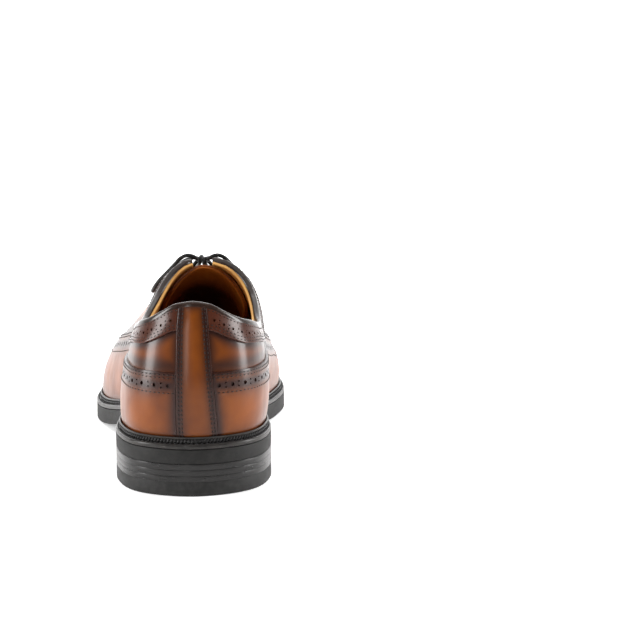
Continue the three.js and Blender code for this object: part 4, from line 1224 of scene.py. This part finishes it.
route = (
    [(2.7, 121.4, 101.2), across(0, LATERAL)[0]] + up_through(0, LATERAL)[::-1]
    + under(0, 2, LATERAL, RUN_SHIFT) + bar(2, LATERAL) + under(2, 4, MEDIAL, RUN_SHIFT)
    + bar(4, MEDIAL) + under(4, 3, LATERAL, 0) + bar(3, LATERAL) + under(3, 1, MEDIAL, -RUN_SHIFT)
    + bar(1, MEDIAL)
    + [on_facing(between(row_y(1), row_y(0), 0.4), FACING_GAP / 2 + 2, LATERAL, LACE_UNDER)]
    + [on_facing(between(row_y(1), row_y(0), 0.6), FACING_GAP / 2 + 2, MEDIAL, LACE_UNDER)]
    + up_through(0, MEDIAL) + [across(0, MEDIAL)[0], (8.9, 121.4, 101.2)]
)
run_line = smooth_line(route, 10)
run = lace_curve("lace_through_holes", run_line)
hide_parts("lace_run")
print("lace in the holes: %.0f mm" % length_of(run_line))

# %% Knot
def tube(name, line, radius, sides=10):
    """A closed mesh tube along a line, with domed ends."""
    along = np.gradient(line, axis=0)
    along /= np.linalg.norm(along, axis=1, keepdims=True)
    x = np.cross(along[0], (0.2, 0.5, 1.0))
    points, count = [], len(line)
    angles = np.arange(sides) * 2 * math.pi / sides
    for k, (p, t) in enumerate(zip(line, along)):
        x = x - t * np.dot(x, t)
        x /= np.linalg.norm(x)
        y = np.cross(t, x)
        end = min(k, count - 1 - k)
        r = radius * (0.62 if end == 0 else 0.9 if end == 1 else 1)
        points.append(p + r * (np.cos(angles)[:, None] * x + np.sin(angles)[:, None] * y))
    ids = np.arange(count * sides).reshape(count, sides)
    rings = np.hstack([ids, ids[:, :1]])
    faces = quads(rings) + [tuple(ids[0]), tuple(ids[-1][::-1])]
    obj = mesh_object(name, np.vstack(points), [tuple(int(v) for v in f) for f in faces])
    shade(obj, 70)
    return obj


turn = np.linspace(-0.2 * math.pi, 2.3 * math.pi, 40)
wrap = np.stack([
    KNOT_X + 1.7 * (turn / math.pi - 1.05) / 1.25, 120.9 - 2.7 * np.cos(turn), 101.9 + 1.9 * np.sin(turn),
], axis=-1)
knot = tube("lace_wrap_of_the_knot", wrap, LACE_RADIUS)
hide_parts("lace_knot")
print("knot wrap: %.1f mm of lace" % length_of(wrap))

# %% [markdown]
# ## Lace tips
# Each free end is closed by an aglet, a tight sleeve that tapers to a rounded point and is
# pressed on with a few rings. It is a turned shape, so a profile swept round a line suits it.

# %% Aglets
AGLET_LENGTH = 12.0
AGLET_PROFILE = [
    (0, 0.4), (0.005, 0.98), (0.03, 1.06), (0.09, 1.06), (0.11, 0.96), (0.14, 0.96), (0.16, 1.03),
    (0.2, 1.03), (0.22, 0.95), (0.6, 0.9), (0.93, 0.82), (0.985, 0.6), (1, 0.2),
]


def turned(name, start, end, profile, radius, sides=16):
    """A turned piece between two points. The profile is (share of length, share of radius)."""
    along = end - start
    x = np.cross(along, (0.3, 0.4, 1.0))
    x /= np.linalg.norm(x)
    y = np.cross(along, x)
    y /= np.linalg.norm(y)
    angles = np.arange(sides) * 2 * math.pi / sides
    ring = np.cos(angles)[:, None] * x + np.sin(angles)[:, None] * y
    points = np.vstack([start + along * s + ring * radius * r for s, r in profile])
    ids = np.arange(len(profile) * sides).reshape(len(profile), sides)
    faces = quads(np.hstack([ids, ids[:, :1]])) + [tuple(ids[0]), tuple(ids[-1][::-1])]
    obj = mesh_object(name, points, [tuple(int(v) for v in f) for f in faces])
    shade(obj, 50)
    return obj


for name, points, tip in (
    ("lateral", BOW_LATERAL, (-20.6, 182.5, 68.3)), ("medial", BOW_MEDIAL, (32.0, 182.5, 66.2)),
):
    end = np.array(points[-1], float)
    along = (np.array(tip) - end) / np.linalg.norm(np.array(tip) - end)
    aglet = turned(
        "aglet_sleeve_" + name, end + 0.15 * along, end + (AGLET_LENGTH + 0.5) * along,
        AGLET_PROFILE, LACE_RADIUS,
    )
    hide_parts("aglet_" + name)
print("aglets: %.0f mm" % AGLET_LENGTH)

# %% [markdown]
# ## Heel, sole and insole
# The bottom is a pile of flat layers cut to one outline. Each is swept from the outline's
# rings, with its two edges rounded, so that the joints between the lifts show as fine lines.

# %% A flat layer cut to the sole's outline
def slab(name, start, end, inset, low, high, rounding=0.35, body="shoe"):
    turn = np.linspace(0, math.pi / 2, 4)
    lower = [(rounding * (1 - math.sin(a)), rounding * (1 - math.cos(a))) for a in turn]
    walks = np.linspace(start, end, int(200 * (end - start) / 3) + 8)
    rings = []
    for side in (LATERAL, MEDIAL):
        x, y, dx, dy = ray(walks, side)
        rows = []
        for level, profile in ((0, lower), (1, lower[::-1])):
            for extra, up in profile:
                reach = sole_reach(walks, side) - inset - extra
                px, py = x + dx * reach, y + dy * reach
                z = low(py) + up if level == 0 else high(py) - up
                rows.append(np.stack([px, py, z], axis=-1))
        rings.append(np.stack(rows, axis=1))
    count, rows = rings[0].shape[:2]
    a = np.arange(count * rows).reshape(count, rows)
    b = a + count * rows
    faces = quads(a) + quads(b)
    for k in (0, rows - 1):
        faces += list(zip(a[:-1, k], a[1:, k], b[1:, k], b[:-1, k]))
    for i in (0, count - 1):
        faces.append(tuple(a[i]) + tuple(b[i][::-1]))
    points = np.vstack([r.reshape(-1, 3) for r in rings])
    obj = mesh_object(name, points, [tuple(int(v) for v in f) for f in faces], body)
    shade(obj, 30)
    return obj


def level(z):
    return lambda y: z + 0 * np.asarray(y, float)


HEEL_END = float(walk_at(HEEL_LENGTH))
heel = [("top_piece", "top_piece_rubber", 0.0, TOP_PIECE, "sole_rubber")]
for k in range(3):
    z = TOP_PIECE + GAP + k * (LIFT + GAP)
    heel.append(("heel_lift_%d" % (k + 1), "heel_lift_leather_%d" % (k + 1), z, z + LIFT, "stack_leather"))
pieces = {}
for node, name, low, high, slot in heel:
    pieces[node] = slab(name, 0, HEEL_END, 0, level(low), level(high + 0.28), 0.14)
    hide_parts(node)
pieces["outsole"] = slab("outsole_rubber", 0, 3, 0, sole_bottom, sole_top, 0.5)
insole_inset = OVERLAY_OUT + WELT_REACH + 0.4
pieces["insole"] = slab(
    "insole_leather", 0, 3, insole_inset, feather_height, lambda y: feather_height(y) + 2.6, 0.3,
)
pieces["sock_liner"] = slab(
    "sock_leather", 0, 3, insole_inset + 0.3,
    lambda y: feather_height(y) + 2.9, lambda y: feather_height(y) + 3.7, 0.25,
)
for node, slot in (
    ("outsole", "sole_rubber"), ("insole", "insole_leather"), ("sock_liner", "lining_leather"),
):
    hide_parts(node)
print("bottom layers:", sorted(pieces))

# %% [markdown]
# ## Storm welt
# The welt is a strip sewn round the upper and to the sole. This one is a storm welt: its
# inner edge stands up against the leather as a small bead that keeps water out, and a thick
# waxed thread binds it in close slanted stitches, which look like a rope laid round the shoe.

# %% Welt strip
def hoop(name, section, count=480, body="shoe"):
    """A closed strip round the shoe. section(walk, side) gives (reach, height) pairs."""
    walks = np.linspace(0, 3, count // 2 + 1)
    rings = []
    for side, run in ((LATERAL, walks), (MEDIAL, walks[-2:0:-1])):
        x, y, dx, dy = ray(run, side)
        rows = [np.stack([x + dx * r, y + dy * r, h(y + dy * r)], axis=-1) for r, h in section(run, side)]
        rings.append(np.stack(rows, axis=1))
    grid = np.vstack(rings)
    n, m = grid.shape[:2]
    ids = np.arange(n * m).reshape(n, m)
    closed = np.vstack([ids, ids[:1]])
    closed = np.hstack([closed, closed[:, :1]])
    obj = mesh_object(name, grid.reshape(-1, 3), [tuple(int(v) for v in f) for f in quads(closed)], body)
    shade(obj, 40)
    return obj


def above_welt(z):
    return lambda y: welt_top(y) + z


def lean(walk, side, height):
    """How far the upper's wall leans out at a height above the feather."""
    return bulge[side](walk) / bulge_rise(walk) * height


STORM_BEAD = [
    (1.35, 0.8), (1.1, 1.6), (0.95, 2.1), (1.25, 2.3), (1.42, 2.65), (1.35, 3.05), (1.05, 3.3),
    (0.7, 3.38), (0.4, 3.25), (0.25, 2.9),
]


def welt_section(walk, side):
    sole, wall = sole_reach(walk, side), feather_reach(walk, side) + OVERLAY_OUT
    rows = [(sole - 9.0 + 0 * walk, welt_bottom), (sole - 0.35, welt_bottom)]
    rows += [(sole - 0.1, lambda y: welt_bottom(y) + 0.12), (sole, lambda y: welt_bottom(y) + 0.45)]
    rows += [(sole, above_welt(-0.75)), (sole - 0.12, above_welt(-0.4)), (sole - 0.4, above_welt(-0.15))]
    rows += [(sole - 0.8, above_welt(0.0)), (wall + 1.95, above_welt(0.05)), (wall + 1.6, above_welt(0.25))]
    for out, up in STORM_BEAD:
        rows.append((wall + out + lean(walk, side, up), above_welt(up)))
    rows += [(wall + 0.2 + lean(walk, side, 1.5), above_welt(1.5)), (wall + 0.15, above_welt(0.0))]
    rows += [(sole - 9.0 + 0 * walk, above_welt(0.0))]
    return rows


welt = hoop("storm_welt", welt_section)
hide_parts("welt")
print("welt:", len(welt.data.polygons), "faces")

# %% Rope stitches of the welt
def welt_line(out_of_wall, up, pitch, side, inset=None):
    """Even places along the welt, with the outward and forward directions."""
    walk = np.linspace(0, 3, 1500)
    x, y, dx, dy = ray(walk, side)
    if inset is None:
        reach = feather_reach(walk, side) + OVERLAY_OUT + out_of_wall + lean(walk, side, up)
    else:
        reach = sole_reach(walk, side) - inset
    points = np.stack([x + dx * reach, y + dy * reach, welt_top(y + dy * reach) + up], axis=-1)
    way = np.concatenate([[0], np.cumsum(np.linalg.norm(np.diff(points, axis=0), axis=1))])
    count = int(round(way[-1] / pitch))
    at = (np.arange(count) + 0.5) * way[-1] / count
    even = np.stack([np.interp(at, way, points[:, k]) for k in range(3)], axis=-1)
    forward = np.gradient(even, axis=0)
    forward /= np.linalg.norm(forward, axis=1, keepdims=True)
    outward = np.cross(forward, (0, 0, 1.0)) * side
    return even, forward, outward / np.linalg.norm(outward, axis=1, keepdims=True)


rope, edge_row = [], []
for _, side in SIDES:
    for p, f, o in zip(*welt_line(1.6, 1.0, 1.75, side)):
        along = 0.62 * f * side + np.array([0, 0, 1.0]) * 0.85 + 0.1 * o
        rope.append((p, along, o + np.array([0, 0, 0.35]), 3.1, 0.62))
    for p, f, o in zip(*welt_line(0, 0.12, 2.6, side, inset=1.15)):
        edge_row.append((p, f + 0.35 * o, np.array([0, 0, 1.0]), 2.1, 0.42))
rope_stitches = threads("welt_rope_stitches", rope)
edge_stitches = threads("welt_edge_stitches", edge_row)
print("welt stitches:", len(rope) + len(edge_row))

# %% [markdown]
# ## Burnishing and painted shade
# The maker darkens the leather by hand beside every seam and round the punched lines, and
# leaves the middle of each panel bright. The distance from every point of a panel to the
# nearest seam is measured and stored on the mesh, where the leather's colour can read it.
# The tongue and its lining get the same darkening as painted shade: it is measured from the
# tongue's middle line ahead of the knot, so the tongue darkens under the lacing and its
# lining darkens towards the dark inside of the shoe.

# %% Distance to the nearest seam (for the painted shade of the tongue, to its middle line), stored on each panel
def seam_tree(points):
    tree = kdtree.KDTree(len(points))
    for i, p in enumerate(place(points)):
        tree.insert(Vector(p), i)
    tree.balance()
    return tree


def store_burnish_and_shade(obj, points, reach):
    """1 on the given points, fading to 0 at the reach in millimetres. On the tongue and its lining it marks
    painted shade.
    """
    tree = seam_tree(points)
    values = [
        math.exp(-((tree.find(v.co)[2] * 1000 / reach) ** 1.6)) for v in obj.data.vertices
    ]
    layer = obj.data.attributes.new("burnish", "FLOAT", "POINT")
    layer.data.foreach_set("value", np.array(values, np.float32))


def edge_points(start, end, share_of, out):
    return [p for _, side in SIDES for p in trace(line_of(share_of, start, end, side, 200), side, out)]


welt_points = edge_points(0, 3, lambda w, s: 0.0, OVERLAY_OUT)
top_points = edge_points(0, walk_at(THROAT_AT), lambda w, s: below_top(w, s, 2), QUARTER_OUT)
shares = np.linspace(0, backstay_border(0, MEDIAL)[1], 80)
backstay_sides = [
    p for _, side in SIDES for p in trace(
        np.stack([backstay_edge(shares, side) - 1.2 / HEEL_ARC, shares], axis=-1), side, OVERLAY_OUT,
    )
]
# Painted shade: the tongue and its lining darken towards this middle line, under the lacing and into the dark
# inside of the shoe.
tongue_points = edge_points(walk_at(135), walk_at(THROAT_AT - 2), lambda w, s: 1.0, -4)
plans = [
    (wing, seam_points["wing"] + welt_points, 4.6),
    (quarters[LATERAL][0], seam_points["quarter"] + seam_points["vamp"] + top_points, 4.4),
    (quarters[MEDIAL][0], seam_points["quarter"] + seam_points["vamp"] + top_points, 4.4),
    (vamp, seam_points["vamp"] + welt_points, 5.0),
    (backstay, backstay_sides + top_points, 3.6),
    # The tongue and its lining: painted shade, not burnishing.
    (tongue, tongue_points, 12.0),
    (tongue_lining, tongue_points, 34.0),
    (quarter_lining, edge_points(0, walk_at(THROAT_AT - 6), top_edge, 1.0), 2.0),
]
for piece, points, reach in plans:
    store_burnish_and_shade(piece, points, reach)
print("burnish stored on", len(plans), "pieces")

# %% [markdown]
# ## Leather
# Polished calf has a warm base colour with slow uneven patches, a very fine pebble that only
# shows in a highlight, and a thin glossy coat of wax. The base reads the stored burnishing,
# which on the tongue and its lining is painted shade, two noises make the patches and the
# streaks, and a Voronoi and a noise drive the bump.

# %% Material helpers
def new_material(name):
    material = bpy.data.materials.new(name)
    material.use_nodes = True
    nodes, links = material.node_tree.nodes, material.node_tree.links
    return material, nodes, links, nodes["Principled BSDF"]


def noise(nodes, links, scale, detail=4.0, roughness=0.6, stretch=(1, 1, 1)):
    where = nodes.new("ShaderNodeTexCoord")
    mapping = nodes.new("ShaderNodeMapping")
    mapping.inputs["Scale"].default_value = stretch
    texture = nodes.new("ShaderNodeTexNoise")
    texture.inputs["Scale"].default_value = scale
    texture.inputs["Detail"].default_value = detail
    texture.inputs["Roughness"].default_value = roughness
    links.new(where.outputs["Object"], mapping.inputs["Vector"])
    links.new(mapping.outputs["Vector"], texture.inputs["Vector"])
    return texture.outputs["Fac"]


def ramp(nodes, links, value, stops):
    band = nodes.new("ShaderNodeValToRGB")
    while len(band.color_ramp.elements) < len(stops):
        band.color_ramp.elements.new(0.5)
    for element, (position, color) in zip(band.color_ramp.elements, stops):
        element.position = position
        element.color = (*color, 1) if len(color) == 3 else color
    links.new(value, band.inputs["Fac"])
    return band.outputs["Color"]


def mix(nodes, links, factor, a, b, kind="MIX"):
    node = nodes.new("ShaderNodeMix")
    node.data_type = "RGBA"
    node.blend_type = kind
    for socket, value in ((node.inputs[0], factor), (node.inputs[6], a), (node.inputs[7], b)):
        if hasattr(value, "links"):
            links.new(value, socket)
        elif isinstance(value, (int, float)):
            socket.default_value = value
        else:
            socket.default_value = (*value, 1)
    return node.outputs[2]


def math_node(nodes, links, kind, a, b):
    node = nodes.new("ShaderNodeMath")
    node.operation = kind
    node.use_clamp = True
    for socket, value in zip(node.inputs, (a, b)):
        if hasattr(value, "links"):
            links.new(value, socket)
        else:
            socket.default_value = value
    return node.outputs[0]


def bump(nodes, links, shader, height, strength, depth):
    node = nodes.new("ShaderNodeBump")
    node.inputs["Strength"].default_value = strength
    node.inputs["Distance"].default_value = depth
    links.new(height, node.inputs["Height"])
    links.new(node.outputs["Normal"], shader.inputs["Normal"])
    return node


def pebble(nodes, links, size):
    where = nodes.new("ShaderNodeTexCoord")
    cells = nodes.new("ShaderNodeTexVoronoi")
    cells.feature = "SMOOTH_F1"
    cells.inputs["Scale"].default_value = size
    cells.inputs["Randomness"].default_value = 1.0
    links.new(where.outputs["Object"], cells.inputs["Vector"])
    return cells.outputs["Distance"]


def paint(piece, material):
    piece.data.materials.clear()
    piece.data.materials.append(material)


# %% Burnished calf, whose dark colour on the tongue is painted shade
def calf(name, bright, warm, dark, gloss=0.34, coat=0.35, grain=0.22):
    """The three colours: patches in the middle of a panel, the ground, and the burnishing beside the seams,
    which on the tongue and its lining is painted shade.
    """
    material, nodes, links, shader = new_material(name)
    # The stored value: burnishing beside the seams, and painted shade on the tongue and its lining.
    seam = nodes.new("ShaderNodeAttribute")
    seam.attribute_name = "burnish"
    patches = noise(nodes, links, 38, 3.0, 0.55)
    streaks = noise(nodes, links, 160, 5.0, 0.65, (1, 1, 0.35))
    base = ramp(nodes, links, patches, [(0.3, warm), (0.62, bright)])
    streaky = math_node(nodes, links, "MULTIPLY", streaks, 0.35)
    base = mix(nodes, links, streaky, base, tuple(c * 0.62 for c in warm))
    uneven = math_node(nodes, links, "MULTIPLY_ADD", streaks, 0.5)
    drift = math_node(nodes, links, "MULTIPLY", uneven, 0.12)
    depth = math_node(nodes, links, "ADD", seam.outputs["Fac"], drift)
    color = mix(nodes, links, depth, base, dark)
    links.new(color, shader.inputs["Base Color"])
    rough = ramp(nodes, links, streaks, [(0.3, (gloss - 0.05,) * 3), (0.75, (gloss + 0.08,) * 3)])
    links.new(rough, shader.inputs["Roughness"])
    shader.inputs["Specular IOR Level"].default_value = 0.12
    shader.inputs["Coat Weight"].default_value = coat
    shader.inputs["Coat Roughness"].default_value = 0.2
    fine = mix(nodes, links, 0.5, pebble(nodes, links, 1500), noise(nodes, links, 900, 6.0, 0.7))
    bump(nodes, links, shader, fine, grain, 0.00012)
    return material


upper_calf = calf("burnished calf", (0.25, 0.06, 0.002), (0.13, 0.028, 0.0015), (0.026, 0.008, 0.005))
trim_calf = calf(
    "dark trim calf", (0.075, 0.019, 0.008), (0.042, 0.012, 0.006), (0.015, 0.006, 0.004), 0.3, 0.32, 0.18,
)
binding_calf = calf(
    "rolled edge calf", (0.03, 0.014, 0.009), (0.016, 0.009, 0.007), (0.008, 0.006, 0.005), 0.28, 0.5, 0.14,
)
lining_calf = calf(
    "smooth lining calf", (0.3, 0.09, 0.014), (0.22, 0.06, 0.009), (0.6, 0.33, 0.1), 0.5, 0.03, 0.2,
)
# The tongue lining's dark colour is painted shade towards the dark inside of the shoe.
tongue_calf = calf(
    "tongue lining calf", (0.56, 0.16, 0.012), (0.46, 0.11, 0.008), (0.03, 0.008, 0.003), 0.5, 0.03, 0.2,
)
for piece in (wing, vamp, backstay, tongue, quarters[LATERAL][0], quarters[MEDIAL][0]):
    paint(piece, upper_calf)
for obj in bpy.data.objects:
    if obj.name.startswith("collar_band_leather"):
        paint(obj, trim_calf)
paint(binding, binding_calf)
for piece in (quarter_lining, vamp_lining, pieces["sock_liner"]):
    paint(piece, lining_calf)
paint(tongue_lining, tongue_calf)
print("leathers:", upper_calf.name, trim_calf.name, binding_calf.name, lining_calf.name)

# %% [markdown]
# ## Threads, lace, rubber, stacked leather and hidden parts
# Waxed thread and lace are nearly black with a soft sheen and a tight twist, so they get a
# fine diagonal wave. The wave also darkens the colour in the grooves of the twist, which is
# painted shade, and a fine noise paints small light flecks on them as glints. Rubber is matt
# with a little dust, and stacked leather shows lines.

# %% Thread and lace
def twisted(name, color, scale, roughness, depth):
    material, nodes, links, shader = new_material(name)
    where = nodes.new("ShaderNodeTexCoord")
    wave = nodes.new("ShaderNodeTexWave")
    wave.bands_direction = "DIAGONAL"
    wave.inputs["Scale"].default_value = scale
    wave.inputs["Distortion"].default_value = 1.2
    links.new(where.outputs["Object"], wave.inputs["Vector"])
    # Painted glints: a fine noise lightens small flecks of the thread.
    glint_flecks = noise(nodes, links, 2500, 3.0)
    # Painted shade: the wave darkens the colour in the grooves of the twist.
    shaded_twist_colour = mix(nodes, links, wave.outputs["Fac"], tuple(c * 0.55 for c in color), color)
    glint_amount = math_node(nodes, links, "MULTIPLY", glint_flecks, 0.4)
    glinting_colour = mix(nodes, links, glint_amount, shaded_twist_colour, tuple(min(1, c * 1.9) for c in color))
    links.new(glinting_colour, shader.inputs["Base Color"])
    shader.inputs["Roughness"].default_value = roughness
    shader.inputs["Sheen Weight"].default_value = 0.02
    shader.inputs["Specular IOR Level"].default_value = 0.2
    bump(nodes, links, shader, wave.outputs["Fac"], 0.5, depth)
    return material


lace_thread = twisted("waxed lace", (0.01, 0.0095, 0.0095), 330, 0.42, 0.00015)
seam_thread = twisted("seam thread", (0.014, 0.008, 0.006), 600, 0.5, 0.00006)
welt_thread = twisted("waxed welt thread", (0.014, 0.013, 0.013), 420, 0.45, 0.0001)
for piece in (run, knot, bow["lateral"], bow["medial"]):
    paint(piece, lace_thread)
paint(stitching, seam_thread)
for piece in (rope_stitches, edge_stitches):
    paint(piece, welt_thread)
print("threads:", lace_thread.name, seam_thread.name, welt_thread.name)

# %% Rubber, stacked leather, welt leather
def matt(name, low, high, scale, roughness, grain, depth=0.0001, stretch=(1, 1, 1), coat=0.0):
    material, nodes, links, shader = new_material(name)
    spots = noise(nodes, links, scale, 6.0, 0.65, stretch)
    links.new(ramp(nodes, links, spots, [(0.32, low), (0.7, high)]), shader.inputs["Base Color"])
    links.new(
        ramp(nodes, links, spots, [(0.3, (roughness - 0.06,) * 3), (0.75, (roughness + 0.08,) * 3)]),
        shader.inputs["Roughness"],
    )
    shader.inputs["Specular IOR Level"].default_value = 0.22
    shader.inputs["Coat Weight"].default_value = coat
    shader.inputs["Coat Roughness"].default_value = 0.2
    fine = mix(nodes, links, 0.5, spots, noise(nodes, links, scale * 9, 4.0, 0.6))
    bump(nodes, links, shader, fine, grain, depth)
    return material


sole_rubber = matt("sole rubber", (0.008, 0.0078, 0.0075), (0.02, 0.019, 0.018), 260, 0.6, 0.35)
top_rubber = matt("top piece rubber", (0.01, 0.0098, 0.0095), (0.026, 0.025, 0.024), 300, 0.55, 0.3)
stack_wax = matt(
    "waxed heel stack",
    (0.005, 0.0045, 0.0042), (0.011, 0.0095, 0.009), 90, 0.3, 0.12, 0.00004, (1, 1, 4), 0.3,
)
welt_wax = matt(
    "waxed welt leather",
    (0.008, 0.0065, 0.006), (0.03, 0.026, 0.023), 190, 0.4, 0.3, 0.0001, (1, 1, 2), 0.2,
)
insole_calf = matt("insole leather", (0.35, 0.2, 0.1), (0.5, 0.31, 0.17), 150, 0.7, 0.3)
for node in ("heel_lift_1", "heel_lift_2", "heel_lift_3"):
    paint(pieces[node], stack_wax)
paint(pieces["top_piece"], top_rubber)
paint(pieces["outsole"], sole_rubber)
paint(pieces["insole"], insole_calf)
paint(welt, welt_wax)
print("bottom finishes: 5")

# %% Hidden and small pieces keep their CAD shape and get a real finish
def metal(name, color, roughness):
    material, nodes, links, shader = new_material(name)
    wear = noise(nodes, links, 420, 5.0, 0.6, (1, 1, 3))
    worn = ramp(nodes, links, wear, [(0.3, tuple(c * 0.7 for c in color)), (0.7, color)])
    links.new(worn, shader.inputs["Base Color"])
    dulled = ramp(nodes, links, wear, [(0.3, (roughness,) * 3), (0.8, (roughness + 0.2,) * 3)])
    links.new(dulled, shader.inputs["Roughness"])
    shader.inputs["Metallic"].default_value = 1.0
    bump(nodes, links, shader, wear, 0.2, 0.00005)
    return material


steel = metal("plain steel", (0.55, 0.54, 0.52), 0.35)
brass = metal("aged brass", (0.45, 0.33, 0.14), 0.35)
cork = matt("cork paste", (0.2, 0.1, 0.045), (0.5, 0.3, 0.14), 420, 0.85, 0.6, 0.0003)
board = matt("stiffener board", (0.4, 0.28, 0.16), (0.55, 0.42, 0.27), 240, 0.8, 0.3)
sleeve = matt("black aglet", (0.008, 0.008, 0.008), (0.02, 0.02, 0.02), 500, 0.25, 0.1, 0.00003)
hidden = {
    "heel_nail": steel, "shank": steel, "eyelet": brass, "cork_filler": cork,
    "insole_rib": insole_calf, "heel_counter": board, "toe_puff": board,
}
for node, obj in frame["nodes"].items():
    for start, material in hidden.items():
        if node.startswith(start):
            paint(obj, material)
for obj in bpy.data.objects:
    if obj.name.startswith("aglet_sleeve"):
        paint(obj, sleeve)
print("hidden pieces finished")

# %% [markdown]
# ## Floor and light
# A pale floor that glows faintly runs up into the background. A soft light at each side, a thin
# strip behind and a large one above draw the long pale highlights that show polished leather.
# One more lights the background.

# %% Pale floor
FLOOR_BEND_AT, FLOOR_BEND_RADIUS = 0.9, 0.7


def backdrop():
    bend = [
        (FLOOR_BEND_AT + FLOOR_BEND_RADIUS * math.sin(a), FLOOR_BEND_RADIUS - FLOOR_BEND_RADIUS * math.cos(a))
        for a in np.linspace(0.1, math.pi / 2, 14)
    ]
    depth = np.array([(-3.0, 0), (FLOOR_BEND_AT, 0)] + bend + [(1.6, 3.0)])
    mesh = bpy.data.meshes.new("pale_floor")
    points = [(x, y, z - 0.0002) for x in (-4.0, 4.0) for y, z in depth]
    n = len(depth)
    mesh.from_pydata(points, [], [(i, i + 1, n + i + 1, n + i) for i in range(n - 1)])
    floor = bpy.data.objects.new("pale_floor", mesh)
    bpy.context.scene.collection.objects.link(floor)
    with_bmesh(floor, lambda bm: bmesh.ops.recalc_face_normals(bm, faces=bm.faces))
    for polygon in mesh.polygons:
        polygon.use_smooth = True
    material, nodes, links, shader = new_material("pale paper")
    paper = ramp(nodes, links, noise(nodes, links, 3, 3.0), [(0.3, (0.86,) * 3), (0.7, (0.9,) * 3)])
    links.new(paper, shader.inputs["Base Color"])
    shader.inputs["Roughness"].default_value = 0.9
    shader.inputs["Emission Color"].default_value = (1, 1, 1, 1)
    shader.inputs["Emission Strength"].default_value = 0.36
    mesh.materials.append(material)
    return floor


floor = backdrop()
print("floor:", floor.name)

# %% Soft lights
def soft_light(name, where, aim, size, power, color=(1, 1, 1)):
    data = bpy.data.lights.new(name, "AREA")
    data.shape = "RECTANGLE"
    data.size, data.size_y = size
    data.energy = power
    data.color = color
    light = bpy.data.objects.new(name, data)
    light.location = where
    light.rotation_euler = (Vector(aim) - Vector(where)).to_track_quat("-Z", "Y").to_euler()
    bpy.context.scene.collection.objects.link(light)
    return light


soft_light("left box", (-1.45, -0.35, 0.45), (0, 0, 0.05), (0.5, 1.0), 26)
soft_light("right box", (1.5, -0.15, 0.45), (0, 0, 0.05), (0.5, 1.0), 26)
soft_light("back strip", (-0.35, -1.5, 0.5), (0, 0, 0.05), (0.12, 0.9), 3)
soft_light("top box", (0, -0.1, 1.8), (0, 0, 0), (2.2, 2.2), 23)
soft_light("back wall", (0, 0.6, 1.6), (0, 1.7, 0.9), (3.0, 1.0), 34)
bpy.context.scene.view_settings.view_transform = "Standard"
world = bpy.data.worlds.new("pale room")
bpy.context.scene.world = world
world.use_nodes = True
world.node_tree.nodes["Background"].inputs["Color"].default_value = (1, 1, 1, 1)
world.node_tree.nodes["Background"].inputs["Strength"].default_value = 0.1
